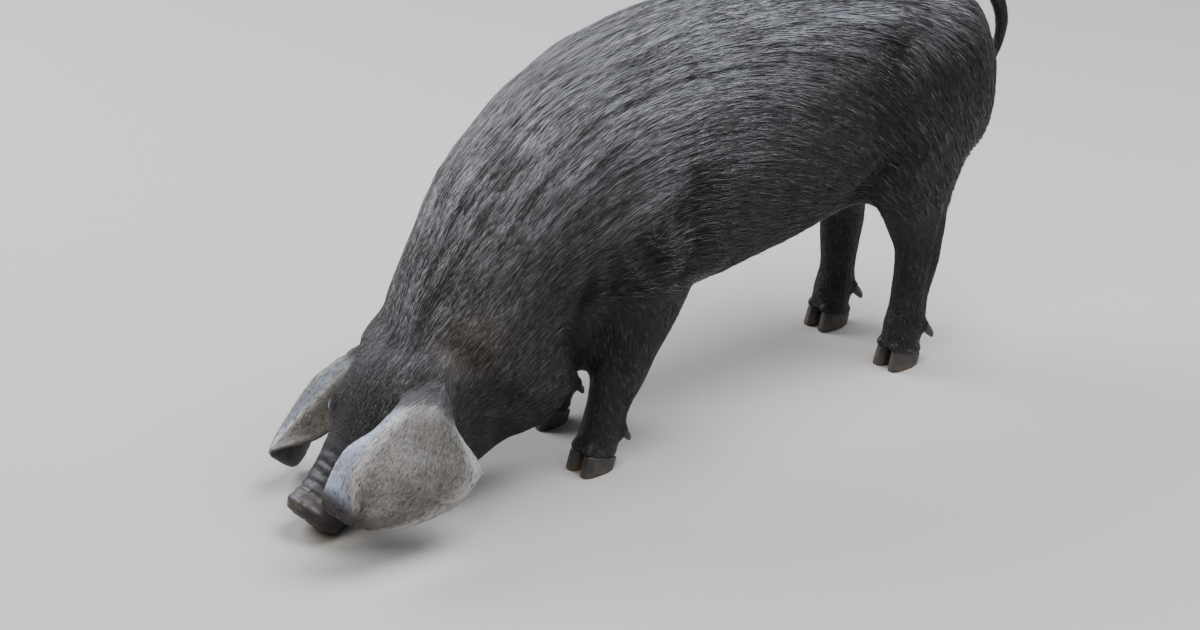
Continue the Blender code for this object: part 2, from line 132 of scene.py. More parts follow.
def speckle(points, size, seed):
    # smooth random spots, 0 to 1, of that size in metres
    table = np.random.default_rng(seed).random(4096)
    tilted = points @ np.array(Euler((0.7, 0.5, 0.9)).to_matrix()) / size
    cell = np.floor(tilted).astype(np.int64)
    t = tilted - cell
    t = t * t * (3 - 2 * t)
    total = np.zeros(len(points))
    for corner in np.ndindex(2, 2, 2):
        at = cell + np.array(corner)
        key = (at[:, 0] * 73856093 ^ at[:, 1] * 19349663 ^ at[:, 2] * 83492791) % 4096
        total += table[key] * np.prod(np.where(corner, t, 1 - t), axis=1)
    return total


def spread(values, pairs, rounds):
    # evens a value out over the surface
    degree = np.maximum(np.bincount(pairs.ravel(), minlength=len(values)), 1)
    for _ in range(rounds):
        total = np.bincount(pairs[:, 0], values[pairs[:, 1]], len(values))
        total += np.bincount(pairs[:, 1], values[pairs[:, 0]], len(values))
        values = 0.5 * values + 0.5 * total / degree
    return values


# where things are on the head and the body

headPlan = {
    "pitch": 40.0,       # degrees the face points below the horizontal
    "roll": 9.0,         # degrees, left side down
    "eyeAlong": 0.064,   # the eyes' place ahead of the skull's base
    "eyeAbove": 0.014,
    "length": 0.158,
}
headTurn = (
    Euler((math.radians(headPlan["pitch"]), 0, 0)).to_matrix()
    @ Euler((0, math.radians(headPlan["roll"]), 0)).to_matrix()
)
sideOf = {"left": 1, "right": -1}
eyePlace, eyeRadius = {}, 0.0
for sideName in sideOf:
    low, high = (Vector(corner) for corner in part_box("eye_" + sideName))
    eyePlace[sideName] = (low + high) / 2
    eyeRadius = (high - low).x / 2
headBase = (eyePlace["left"] + eyePlace["right"]) / 2 - headTurn @ Vector(
    (0, -headPlan["eyeAlong"], headPlan["eyeAbove"])
)


def onHead(along, above, side):
    return headBase + headTurn @ Vector((side, -along, above))


def toHead(points):
    # columns: along the head, above its axis, to the side
    local = (points - np.array(headBase)) @ np.array(headTurn)
    return np.stack((-local[:, 1], local[:, 2], local[:, 0]), axis=1)


# Places on the body are measured from here, a fixed step from the near fore claw.
clawStep = np.array((0.0379, -0.1362, 0.0))
bodyBase = np.array(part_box("claw_fore_left_inner")[0]) - clawStep

# ears: folded sheets of skin, shaped before they join the head

# Four curves run from the root to the tip of each ear, as head places in mm: along, above, out.
earPlan = {
    "left": {
        "front": [(18, 26, 18), (46, 46, 40), (73, 57, 46), (99, 73, 48),
                  (125, 73, 53), (146, 70, 62), (146, 53, 74)],
        "fold": [(8, 24, 26), (37, 48, 56), (69, 61, 60), (97, 66, 64),
                 (118, 63, 69), (131, 51, 75), (145, 48, 78)],
        "back": [(-4, 16, 34), (25, 43, 72), (56, 36, 88), (77, 36, 96),
                 (101, 37, 98), (126, 43, 94), (144, 45, 81)],
        "rear": [(-4, -4, 40), (26, 14, 78), (34, -18, 92), (45, -28, 98),
                 (76, -19, 101), (117, 10, 96), (144, 42, 83)],
    },
    "right": {
        "front": [(6, 6, 30), (27, -14, 44), (55, -22, 52), (78, -26, 60),
                  (97, -23, 67), (113, -12, 74), (126, -4, 80)],
        "fold": [(-8, 18, 34), (9, 6, 52), (38, -1, 68), (65, -6, 77),
                 (88, -9, 83), (110, -10, 86), (127, -6, 83)],
        "back": [(-10, 20, 40), (11, 11, 60), (40, -2, 86), (66, -7, 94),
                 (92, -13, 97), (114, -16, 94), (128, -11, 86)],
        "rear": [(-12, 4, 46), (19, 11, 66), (55, -30, 98), (80, -56, 104),
                 (104, -64, 101), (122, -56, 96), (129, -16, 87)],
    },
    "rows": 84,
    "columns": 64,
    "rim": 1.20 * mm,      # half the thickness at the rim
    "middle": 0.8 * mm,    # and what is added inside it
    "root": 5.0 * mm,      # and at the root
    "crest": (1.1 * mm, 1 / 3, 0.035),    # on the fold: height, place across, width
    "rimRoll": (0.7 * mm, 0.93, 0.03),    # the rolled rear rim
    "rimGroove": (-0.9 * mm, 0.84, 0.04),
    "frontRoll": (0.6 * mm, 0.05, 0.04),
    "veins": [(0.46, -0.22), (0.52, 0.02), (0.60, 0.20), (0.70, 0.36)],   # place at the root, spread
    "veinHeight": 0.45 * mm,
}


def smoothStep(a, b, c, d, t):
    # the place at share t from b to c on a smooth curve through a, b, c and d
    return b + 0.5 * t * (c - a + t * (2 * a - 5 * b + 4 * c - d + t * (3 * b - a - 3 * c + d)))


def curveThrough(stops, count):
    # a smooth curve through the stops, as that many places
    stops = [np.array(stop, dtype=float) for stop in stops]
    padded = [2 * stops[0] - stops[1], *stops, 2 * stops[-1] - stops[-2]]
    rows = []
    for k in range(count):
        at = k / (count - 1) * (len(stops) - 1)
        i = min(int(at), len(stops) - 2)
        t = at - i
        a, b, c, d = padded[i:i + 4]
        rows.append(smoothStep(a, b, c, d, t))
    return np.array(rows)


def ridge(v, name):
    height, place, wide = earPlan[name]
    return height * np.exp(-((v - place) / wide) ** 2)


def closedFaces(rows, columns):
    # the faces of a sheet's front and back, joined round the rim
    front = np.arange(rows * columns).reshape(rows, columns)
    back = front + rows * columns
    faces = []
    for i in range(rows - 1):
        for k in range(columns - 1):
            ring = (i, k), (i, k + 1), (i + 1, k + 1), (i + 1, k)
            faces.append([front[corner] for corner in ring])
            faces.append([back[ring[j]] for j in (0, 3, 2, 1)])
    loop = [(i, 0) for i in range(rows)] + [(rows - 1, k) for k in range(1, columns)]
    loop += [(i, columns - 1) for i in range(rows - 2, -1, -1)]
    loop += [(0, k) for k in range(columns - 2, 0, -1)]
    for p, q in zip(loop, loop[1:] + loop[:1]):
        faces.append([front[p], back[p], back[q], front[q]])
    return [tuple(int(i) for i in face) for face in faces]


def earSheet(sideName):
    # the closed sheet's points and faces, and each point's share of the way to tip and rear
    plan, side, rows, columns = earPlan[sideName], sideOf[sideName], earPlan["rows"], earPlan["columns"]
    curves = [curveThrough(np.array(plan[name]) / 1000, rows) for name in ("front", "fold", "back", "rear")]
    grid = np.array([curveThrough([curve[i] for curve in curves], columns) for i in range(rows)])
    places = np.array([[onHead(a, b, side * c) for a, b, c in row] for row in grid])
    down, over = np.gradient(places, axis=0), np.gradient(places, axis=1)
    normals = unit(np.cross(down, over)) * side
    if (normals[rows // 2, columns // 2] @ np.array(headTurn @ Vector((side, 0, 0.3)))) < 0:
        normals = -normals
    u, v = np.meshgrid(np.linspace(0, 1, rows), np.linspace(0, 1, columns), indexing="ij")
    free = ramp(u, 0.12, 0.30)
    arch = np.sqrt(np.clip(np.sin(math.pi * v), 0, 1))
    half = earPlan["rim"] + earPlan["middle"] * arch * (1 - 0.6 * u)
    half = half + earPlan["root"] * (1 - u) ** 5 * arch
    flat = places.reshape(-1, 3)
    wave = (0.9 * mm * ripple(flat, 0.034, 8) + 0.25 * mm * ripple(flat, 0.010, 9)).reshape(u.shape)
    lift = free * (1 - u) ** 0.3 * wave
    relief = ridge(v, "crest") * ramp(u, 0.15, 0.4)
    relief += ridge(v, "rimRoll") * free
    relief += ridge(v, "rimGroove") * free * (1 - ramp(u, 0.8, 0.95))
    relief += ridge(v, "frontRoll") * free
    for start, spreadOut in earPlan["veins"]:
        track = start + spreadOut * u ** 1.3 + 0.02 * np.sin(9 * u + 20 * start)
        vein = np.exp(-((v - track) / 0.022) ** 2)
        relief += earPlan["veinHeight"] * vein * free * (1 - ramp(u, 0.7, 0.95))
    outer = places + normals * (half + lift + relief)[..., None]
    inner = places - normals * (half - lift)[..., None]
    points = np.concatenate((outer.reshape(-1, 3), inner.reshape(-1, 3)))
    faces = closedFaces(rows, columns)
    return points, faces, np.concatenate((u.ravel(), u.ravel())), np.concatenate((v.ravel(), v.ravel()))


earShapes = {sideName: earSheet(sideName) for sideName in sideOf}
print("ears drawn")

# skin: one surface over the whole body

skinPlan = {
    "flesh": [
        "trunk", "neck", "head", "snout", "tail", "foreleg_upper_left", "foreleg_upper_right",
        "foreleg_lower_left", "foreleg_lower_right", "hindleg_upper_left", "hindleg_upper_right",
        "hindleg_lower_left", "hindleg_lower_right",
    ],
    "ears": ["ear_left", "ear_right"],
    "grow": 0.6 * mm,       # closes the thin cuts between the nodes
    "voxel": 1.95 * mm,
    "coatDepth": 0.9 * mm,  # how far the skin lies inside the nodes
    "gapReach": 7 * mm,
    "sheetGap": (1.2 * mm, 5 * mm),   # skin this near an ear's sheet or the tail counts as thin
    "tailGap": (1.2 * mm, 6 * mm),
    "earGap": (1.5 * mm, 5 * mm),     # and this near the sheet it is marked as ear
    "toe": (10.2 * mm, 20.0 * mm, 8.5 * mm),   # half sizes of the soft band over each claw
    "toeSlope": 15.0,       # degrees it slopes down to the rear
    "heel": (6.8 * mm, 6.5 * mm, 8.0 * mm),    # and of the bump that carries each dewclaw
    "rounds": {"all": 6, "thick parts": 22, "body": 30, "broad forms": 170},   # of smoothing
}


def addBall(bm, middle, halves, slope=0.0):
    turn = Euler((math.radians(slope), 0, 0)).to_matrix()
    made = bmesh.ops.create_icosphere(bm, subdivisions=3, radius=1.0)["verts"]
    for vert in made:
        vert.co = middle + turn @ Vector([a * b for a, b in zip(vert.co, halves)])


def joinFlesh():
    bm = bmesh.new()
    for name in skinPlan["flesh"]:
        first = len(bm.verts)
        bm.from_mesh(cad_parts[name].data)
        bm.normal_update()
        bm.verts.ensure_lookup_table()
        fresh = [bm.verts[i] for i in range(first, len(bm.verts))]
        moved = [v.co + v.normal * skinPlan["grow"] for v in fresh]
        for vert, place in zip(fresh, moved):
            vert.co = place
    for points, faces, _, _ in earShapes.values():
        verts = [bm.verts.new(point) for point in points]
        for face in faces:
            bm.faces.new([verts[i] for i in face])
    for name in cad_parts:
        if "claw" not in name:
            continue
        low, high = (Vector(corner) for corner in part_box(name))
        middle = (low + high) / 2
        if name.startswith("dewclaw"):
            addBall(bm, Vector((middle.x, low.y + 3 * mm, high.z - 4 * mm)), skinPlan["heel"])
        else:
            place = Vector((middle.x, middle.y + 1.5 * mm, high.z - 1.0 * mm))
            addBall(bm, place, skinPlan["toe"], -skinPlan["toeSlope"])
    mesh = bpy.data.meshes.new("skin")
    bm.to_mesh(mesh)
    bm.free()
    return addObject("skin", mesh)


def gapTo(points, names, reach):
    # how far each point is from those nodes' surfaces, at most reach
    found = np.full(len(points), reach)
    for name in names:
        low, high = (np.array(corner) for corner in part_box(name))
        close = np.all((points > low - reach) & (points < high + reach), axis=1).nonzero()[0]
        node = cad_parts[name].data
        tree = BVHTree.FromPolygons([v.co for v in node.vertices], [p.vertices for p in node.polygons])
        for i in close:
            gap = tree.find_nearest(points[i], reach)[3]
            if gap is not None and gap < found[i]:
                found[i] = gap
    return found


def gapToEars(points, reach):
    # how far each point is from the ears, the nearest place there, its share of the way to tip and
    # rear, and whether that is the ear's inner face
    gaps, places = np.full(len(points), reach), points.copy()
    toTip, toRear, inner = np.zeros(len(points)), np.zeros(len(points)), np.zeros(len(points))
    for corners, faces, u, v in earShapes.values():
        tree = BVHTree.FromPolygons(corners.tolist(), faces)
        low, high = corners.min(axis=0) - reach, corners.max(axis=0) + reach
        for i in np.all((points > low) & (points < high), axis=1).nonzero()[0]:
            place, _, face, gap = tree.find_nearest(points[i], reach)
            if gap is not None and gap < gaps[i]:
                gaps[i], places[i] = gap, place
                toTip[i], toRear[i] = u[faces[face][0]], v[faces[face][0]]
                inner[i] = faces[face][0] >= len(corners) // 2
    return gaps, places, toTip, toRear, inner


def smoothWhere(obj, name, weights, rounds):
    group = obj.vertex_groups.new(name=name)
    levels = np.round(np.clip(weights, 0, 1) * 20).astype(int)
    for level in range(1, 21):
        group.add((levels == level).nonzero()[0].tolist(), level / 20, "REPLACE")
    smooth = obj.modifiers.new(name, "SMOOTH")
    smooth.factor = 0.5
    smooth.iterations = rounds
    smooth.vertex_group = name


def splitFaces(obj, middle, reach, times):
    # finer faces round a small feature
    bm = bmesh.new()
    bm.from_mesh(obj.data)
    for _ in range(times):
        edges = [e for e in bm.edges if all((v.co - middle).length < reach for v in e.verts)]
        bmesh.ops.subdivide_edges(bm, edges=edges, cuts=1, use_grid_fill=True, smooth=0.6)
    bm.to_mesh(obj.data)
    bm.free()


def makeSkin():
    skin = joinFlesh()
    remesh = skin.modifiers.new("one surface", "REMESH")
    remesh.mode = "VOXEL"
    remesh.voxel_size = skinPlan["voxel"]
    applyModifiers(skin)
    points = readPoints(skin.data)

    gaps, earPlaces, toTip, toRear, inner = gapToEars(points, skinPlan["gapReach"])
    sheet = 1 - ramp(gaps, *skinPlan["sheetGap"])
    tail = 1 - ramp(gapTo(points, ["tail"], skinPlan["gapReach"]), *skinPlan["tailGap"])
    thin = np.maximum(sheet, tail)
    along = toHead(points)[:, 0]
    face = ramp(along, -0.03, 0.01)
    foot = (1 - ramp(points[:, 2], 0.040, 0.058)) * (1 - ramp(along, -0.10, -0.06))
    broad = ramp(points[:, 2], 0.11, 0.16) * (1 - face)
    smoothed = {
        "all": np.ones(len(points)),
        "thick parts": (1 - thin) * (1 - foot),
        "body": (1 - face) * (1 - thin) * (1 - foot),
        "broad forms": broad * (1 - thin),
    }
    for name, weights in smoothed.items():
        smoothWhere(skin, name, weights, skinPlan["rounds"][name])
    applyModifiers(skin)
    skin.vertex_groups.clear()

    after, normals, pairs = readPoints(skin.data), readNormals(skin.data), readEdges(skin.data)
    lost = ((points - after) * normals).sum(axis=1)  # what the smoothing took off
    lost = spread(lost, pairs, 60)
    inset = skinPlan["coatDepth"] * (1 - 0.9 * thin) * (1 - 0.5 * face) * (1 - 0.7 * foot)
    inset = skinPlan["grow"] + inset
    after = after + normals * (lost - inset)[:, None]
    hold = (1 - ramp(gaps, 1.3 * mm, 3.2 * mm)) * ramp(toTip, 0.10, 0.24)
    hold = np.maximum(hold, spread(hold, pairs, 3))[:, None] * (gaps < 4 * mm)[:, None]
    writePoints(skin.data, after * (1 - hold) + earPlaces * hold)
    # painted highlights on the ear's rims and fold, painted sky sheen on its upturned strip, painted shade on
    # its brownish inner face
    rim = np.exp(-((toRear - 0.95) / 0.05) ** 2) + np.exp(-((toRear - 1 / 3) / 0.05) ** 2)
    leftSkySheen, rightSkySheen = 1 - ramp(toRear, 0.26, 0.34), np.exp(-((toRear - 0.42) / 0.10) ** 2)
    skySheen = np.where(points[:, 0] > headBase.x, leftSkySheen, rightSkySheen)
    mask = (1 - ramp(gaps, *skinPlan["earGap"])) * ramp(toTip, 0.09, 0.26)
    addMask(skin.data, "ear", mask)
    addMask(skin.data, "earRidgeHighlight", mask * rim)
    addMask(skin.data, "earSkySheen", mask * skySheen)
    addMask(skin.data, "earInsideBrownAndShade", mask * spread(inner, pairs, 3))
    addMask(skin.data, "tail", tail)
    print("skin:", len(points), "points")
    return skin


skin = makeSkin()

# eyes, nostrils and mouth

facePlan = {
    "lookAhead": 0.30,          # the eye looks out to the side, a little ahead and up
    "lookUp": 0.22,
    "openLong": 0.74,           # half the lid opening, in eye radii
    "openHigh": 0.37,
    "lid": 1.1 * mm,            # thickness of the lids over the eye
    "lidCrease": 0.9 * mm,
    "nostrilOut": 9.5 * mm,
    "nostrilWide": 3.6 * mm,
    "nostrilHigh": 4.6 * mm,
    "nostrilDeep": 8.0 * mm,
    "nostrilLip": 0.8 * mm,
    "eyeDetail": (0.019, 2),    # how far round it the skin's faces are split, and how often
    "discDetail": (0.026, 1),
    "mouthDetail": (0.020, 1),
}


def lookOf(sideName):
    # the ways the eye looks, along the opening of its lids, and across that
    ahead = headTurn @ Vector((0, -1, 0))
    up = headTurn @ Vector((0, 0, 1))
    out = headTurn @ Vector((sideOf[sideName], 0, 0))
    look = (out + ahead * facePlan["lookAhead"] + up * facePlan["lookUp"]).normalized()
    slit = (ahead - look * ahead.dot(look)).normalized()
    return look, slit, look.cross(slit) * sideOf[sideName] * -1


def setEyelids(sideName):
    middle = np.array(eyePlace[sideName])
    look, slit, lift = (np.array(axis) for axis in lookOf(sideName))
    if lift @ np.array(headTurn @ Vector((0, 0, 1))) < 0:
        lift = -lift
    points = readPoints(skin.data)
    near = (np.linalg.norm(points - middle, axis=1) < 2.6 * eyeRadius).nonzero()[0]
    arm = points[near] - middle
    reach = np.linalg.norm(arm, axis=1)
    way = arm / reach[:, None]
    long, high, facing = way @ slit, way @ lift, way @ look
    openLong = facePlan["openLong"]
    outline = facePlan["openHigh"] * np.clip(1 - (long / openLong) ** 2, 0, 1) ** 0.8
    height = np.where(high > 0, outline * 1.15, outline * 0.85)
    inside = (np.abs(long) < openLong) & (np.abs(high) < height) & (facing > 0)
    past = np.hypot(np.maximum(np.abs(long) - openLong, 0), np.maximum(np.abs(high) - height, 0))
    rim = eyeRadius + facePlan["lid"] * (0.55 + 0.75 * ramp(past, 0.0, 0.22))
    crease = facePlan["lidCrease"] * np.exp(-((past - 0.42) / 0.09) ** 2) * (high > -0.1)
    hold = ramp(facing, 0.10, 0.55)
    wanted = np.maximum(rim - crease, reach * (1 - hold))
    wanted = np.maximum(wanted, reach - 1.2 * mm)
    place = np.where(inside, 0.80 * eyeRadius, reach + (wanted - reach) * hold)
    place = np.where(facing > 0, place, reach)
    points[near] = middle + way * place[:, None]
    writePoints(skin.data, points)


def setNostrils():
    points = readPoints(skin.data)
    local = toHead(points)
    ahead = np.array(headTurn @ Vector((0, -1, 0)))
    disc = ramp(local[:, 0], headPlan["length"] - 0.012, headPlan["length"] - 0.003)
    for side in (1, -1):
        x = (local[:, 2] - side * facePlan["nostrilOut"]) / facePlan["nostrilWide"]
        y = (local[:, 1] - 0.5 * mm) / facePlan["nostrilHigh"]
        far = np.hypot(x, y + 0.25 * side * x)
        hole = 1 - ramp(far, 0.62, 1.10)
        lip = np.exp(-((far - 1.35) / 0.30) ** 2)
        push = facePlan["nostrilLip"] * lip - facePlan["nostrilDeep"] * hole
        points += ahead * (disc * push)[:, None]
    writePoints(skin.data, points)


for sideName in sideOf:
    splitFaces(skin, eyePlace[sideName], *facePlan["eyeDetail"])
splitFaces(skin, onHead(headPlan["length"], 0, 0), *facePlan["discDetail"])
splitFaces(skin, onHead(headPlan["length"] - 0.02, -0.024, 0), *facePlan["mouthDetail"])

# folds, creases and muscles

# Each is a line of points with a width and a depth, all in mm: above 0 it is pressed in, below 0 it
# stands out. On the head the points are along, above and out.
headFolds = [
    # mouth, from under the disc to its corner
    ([
        (150, -21.5, 0), (146, -22, 11), (134, -23, 20), (112, -21, 27.5), (90, -15, 35),
        (82, -10, 38.5),
    ], 1.5, 2.6),
    ([(146, -30, 10), (125, -30, 19), (98, -26, 28)], 3.0, -1.0),
    ([(82, -4, 42), (74, -14, 43), (68, -26, 41)], 2.4, 1.3),
    # brow and the hollow before and under the eye
    ([(74, 30, 34), (62, 33, 38), (50, 30, 43)], 4.0, -1.6),
    ([(82, 16, 36), (94, 6, 33)], 4.5, 1.8),
    ([(72, -4, 46), (58, -4, 49)], 2.0, 0.9),
    # over the bridge of the nose
    ([(100, 21, 0), (100, 16, 18), (102, 6, 28)], 2.6, 0.5),
    ([(111, 19, 0), (110, 14, 17), (113, 6, 26)], 2.0, 0.6),
    ([(120, 18, 0), (118, 13, 17), (116, 0, 26)], 2.4, 0.6),
    ([(128, 17.5, 0), (129, 13, 17), (126, 4, 25)], 1.7, 0.8),
    ([(137, 18, 0), (137, 14, 17), (136, 0, 26), (136, -14, 22)], 1.8, 1.4),
    # rim of the snout's disc
    ([(150, 22, 0), (150, 18, 15), (150, 5, 27), (150, -10, 26), (150, -20, 12)], 2.6, -1.0),
    # behind and under the ears' roots
    ([(-20, 44, 18), (-30, 30, 40), (-30, 8, 55)], 9.0, 1.8),
    ([(6, -6, 62), (-20, -22, 66), (-30, -50, 62)], 9.0, 1.3),
    # between cheek and throat
    ([(-10, -60, 58), (-30, -84, 48), (-34, -104, 24)], 10.0, 2.2),
]
# On the body they are out, back and up from bodyBase, for the left side. The last number is how much
# further back the right side's leg stands.
bodyFolds = [
    ([(83, 194, 322), (89, 186, 285), (87, 193, 240), (78, 196, 212)], 18.0, 3.6, 9),
    ([(80, 205, 238), (82, 188, 224), (82, 168, 214), (80, 144, 207)], 8.0, -2.6, 9),
    ([(86, 235, 300), (87, 240, 262), (80, 238, 225)], 22.0, -2.6, 9),
    ([(86, -30, 245), (86, -24, 210), (80, -20, 180)], 17.0, 3.2, 26),
    ([(84, -54, 202), (84, -48, 190)], 12.0, -2.6, 26),
    ([(84, -90, 207), (85, -72, 191), (83, -52, 176), (80, -36, 172)], 9.0, 1.8, 26),
    ([(76, -118, 204), (80, -96, 215), (82, -82, 226)], 20.0, -2.4, 26),
    ([(72, -132, 178), (66, -133, 150), (56, -131, 118), (40, -128, 94)], 9.0, 3.2, 22),
    ([(66, -165, 190), (66, -152, 160), (58, -148, 128)], 12.0, 0.8, 20),
    # tendons of the legs
    ([(62, -83, 110), (60, -80, 75), (59, -82, 45)], 3.5, -1.6, 26),
    ([(73, -96, 100), (73, -94, 60), (72, -97, 35)], 4.0, 1.6, 26),
    ([(60, 290, 150), (60, 292, 125), (60, 282, 100)], 4.0, -2.0, 9),
    ([(78, 272, 145), (77, 268, 110), (76, 262, 60)], 4.5, 1.8, 9),
    ([(52, 246, 120), (56, 243, 106)], 7.0, 1.6, 9),
]


def nearLine(points, line):
    # how far each point is from a line of points
    found = np.full(len(points), 1.0)
    for start, end in zip(line[:-1], line[1:]):
        step = end - start
        share = np.clip((points - start) @ step / (step @ step), 0, 1)
        found = np.minimum(found, np.linalg.norm(points - start - share[:, None] * step, axis=1))
    return found


def bentLine(line):
    # a smooth curve through the line's points
    rows = [line[0]]
    padded = [line[0], *line, line[-1]]
    for a, b, c, d in zip(padded, padded[1:], padded[2:], padded[3:]):
        for t in (0.25, 0.5, 0.75, 1.0):
            rows.append(smoothStep(a, b, c, d, t))
    return np.array(rows)


def pressFolds():
    points, normals = readPoints(skin.data), readNormals(skin.data)
    shift = np.zeros(len(points))

    def press(line, wide, deep):
        line = bentLine(np.array(line))
        low, high = line.min(axis=0) - 4 * wide * mm, line.max(axis=0) + 4 * wide * mm
        near = np.all((points > low) & (points < high), axis=1).nonzero()[0]
        gap = nearLine(points[near], line) / (wide * mm)
        shift[near] -= deep * mm * (np.exp(-gap ** 2) - 0.30 * np.exp(-((gap - 1.9) / 0.8) ** 2))

    for line, wide, deep in headFolds:
        for side in (1, -1):
            places = [onHead(along, above, side * out) for along, above, out in np.array(line) / 1000]
            press(places, wide, deep)
    for line, wide, deep, lag in bodyFolds:
        for side in (1, -1):
            lagging = lag / 1000 if side < 0 else 0.0
            places = [bodyBase + (side * x, y + lagging, z) for x, y, z in np.array(line) / 1000]
            press(places, wide, deep)
    keep = 1 - readMask(skin.data, "ear")
    writePoints(skin.data, points + normals * (shift * keep)[:, None])


ripplePlan = {   # height and size in mm, seed
    "wrinkles": (0.40, 9, 3),
    "uneven": (0.35, 30, 4),
    "muscles": (0.9, 85, 5),
    "stretch": 0.16,   # scale of y and z in the wrinkles, so that they run along the neck
}


def rippleSkin():
    # wrinkles along the neck, and low unevenness everywhere
    points, normals = readPoints(skin.data), readNormals(skin.data)
    local = toHead(points)
    neck = ramp(local[:, 0], -0.22, -0.12) * (1 - ramp(local[:, 0], -0.03, 0.0))
    lengthwise = points * np.array([1, ripplePlan["stretch"], ripplePlan["stretch"]])
    crest = ramp(normals[:, 1] * -0.55 + normals[:, 2] * 0.8, 0.2, 0.9)
    height, size, seed = ripplePlan["wrinkles"]
    shift = neck * (0.15 + 0.85 * crest) * height * mm * ripple(lengthwise, size / 1000, seed)
    height, size, seed = ripplePlan["uneven"]
    shift += height * mm * ripple(points, size / 1000, seed) * (1 - ramp(local[:, 0], 0.02, 0.05))
    height, size, seed = ripplePlan["muscles"]
    shift += height * mm * ripple(points, size / 1000, seed) * ramp(points[:, 2], 0.12, 0.2)
    shift *= 1 - readMask(skin.data, "ear")
    writePoints(skin.data, points + normals * shift[:, None])


rippleSkin()
pressFolds()
for sideName in sideOf:
    setEyelids(sideName)
setNostrils()
settled = readPoints(skin.data)
settled[:, 2] = np.maximum(settled[:, 2], 0.0)   # the snout rests flat on the floor
writePoints(skin.data, settled)
for polygon in skin.data.polygons:
    polygon.use_smooth = True
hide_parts(*skinPlan["flesh"], *skinPlan["ears"])
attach(skin, "root")
print("skin shaped:", len(skin.data.polygons), "faces")

# dust, snout and painted sheen, shared by the skin and the coat

markPlan = {
    "mudHeight": 0.030,    # soil on the feet up to here, fading out over mudFade
    "mudFade": 0.045,
    "mudLegs": (-0.07, -0.03),   # soil stays behind these places along the head
    "dustyTip": (0.112, 0.156),  # along the head too
    "snout": (0.126, 0.140),
    "paintedLightFrom": (-0.10, -0.18, 0.98),   # painted sheen: the coat is coloured lighter where it faces this way
    "litSpan": (-0.02, 0.65),
    # how much more painted sheen it gets, at places from neck to rump
    "litMore": [(-0.24, 0.20), (-0.15, 0.26), (0.02, 0.25), (0.12, 0.12), (0.22, -0.02), (0.30, -0.06)],
    "litHeight": (0.13, 0.26),         # and only above this
    "head": (-0.08, -0.02),            # along the head, where its own painted sheen takes over
    "headLitAbove": (-0.03, 0.02),          # which comes above this on the head
    "faceInShade": (-0.02, 0.05),         # and fades out towards the face, which is left dark as painted shade under the ears
    "aroundEars": [            # place on the head, reach in mm, how much painted light makes it paler and how dusty
        ((0.006, 0.036, 0.048), 22, 1.0, 0.45),
        ((-0.030, 0.030, 0.052), 40, 0.55, 0.80),
    ],
}
footPlan = {
    "front": 0.1335,       # how far ahead of bodyBase the gap between foot and jowl is, at frontHeight
    "frontHeight": 0.03,
    "lean": 0.3,           # the gap leans back by this for each metre up
    "top": (0.08, 0.10),   # the foot ends between these heights
}


def onFoot(points):
    # 1 on the lower forelegs, which stand close behind the jowl
    place = points - bodyBase
    line = footPlan["front"] - footPlan["lean"] * (place[:, 2] - footPlan["frontHeight"])
    return ramp(place[:, 1] + line, 0.0, 0.004) * (1 - ramp(place[:, 2], *footPlan["top"]))


def marksAndSheen(points, normals):
    # how dusty each place is, how much it is snout, and how much painted sheen lightens it from above
    local = toHead(points)
    height, fade = markPlan["mudHeight"], markPlan["mudFade"]
    low = 1 - ramp(points[:, 2], height - fade, height + fade)
    patchy = ramp(ripple(points, 0.016, 21) + 0.9 * ripple(points, 0.005, 22), -0.6, 2.0)
    onLegs = np.maximum(1 - ramp(local[:, 0], *markPlan["mudLegs"]), onFoot(points))
    tip = ramp(local[:, 0], *markPlan["dustyTip"])
    dust = np.clip(low * patchy * onLegs + tip * patchy * 0.8, 0, 1)
    snout = ramp(local[:, 0], *markPlan["snout"])
    # painted sheen: lighter where the surface faces the light from above, and more along the back
    paintedLit = normals @ np.array(markPlan["paintedLightFrom"])
    paintedLit += np.interp((points - bodyBase)[:, 1], *np.array(markPlan["litMore"]).T)
    paintedSheen = ramp(paintedLit, *markPlan["litSpan"])
    head = ramp(local[:, 0], *markPlan["head"])
    high = ramp(points[:, 2], *markPlan["litHeight"])
    paintedSheen *= (1 - head) * high + head * ramp(local[:, 1], *markPlan["headLitAbove"])
    # the face keeps little of the painted sheen, as painted shade under the ears
    paintedSheen *= (1 - 0.75 * ramp(local[:, 0], *markPlan["faceInShade"])) * (1 - snout)
    for sideName, side in sideOf.items():
        for (along, above, out), reach, paintedLighter, dustier in markPlan["aroundEars"]:
            away = np.linalg.norm(points - np.array(onHead(along, above, side * out)), axis=1)
            near = np.exp(-(away / (reach * mm)) ** 2)
            paintedSheen = np.maximum(paintedSheen, paintedLighter * near)
            dust = np.maximum(dust, dustier * near)
    return dust, snout, paintedSheen


skinPoints, skinNormals = readPoints(skin.data), readNormals(skin.data)
# dust and snout are the hide's own colour; the third mask is painted sheen
for name, values in zip(("dust", "snout", "paintedSheen"), marksAndSheen(skinPoints, skinNormals)):
    addMask(skin.data, name, values)
skinEdges = readEdges(skin.data)
softNormals = np.stack([spread(skinNormals[:, k], skinEdges, 40) for k in range(3)], axis=1)
bend = 1 - np.linalg.norm(softNormals, axis=1)   # how strongly the skin curves

# lie of the coat

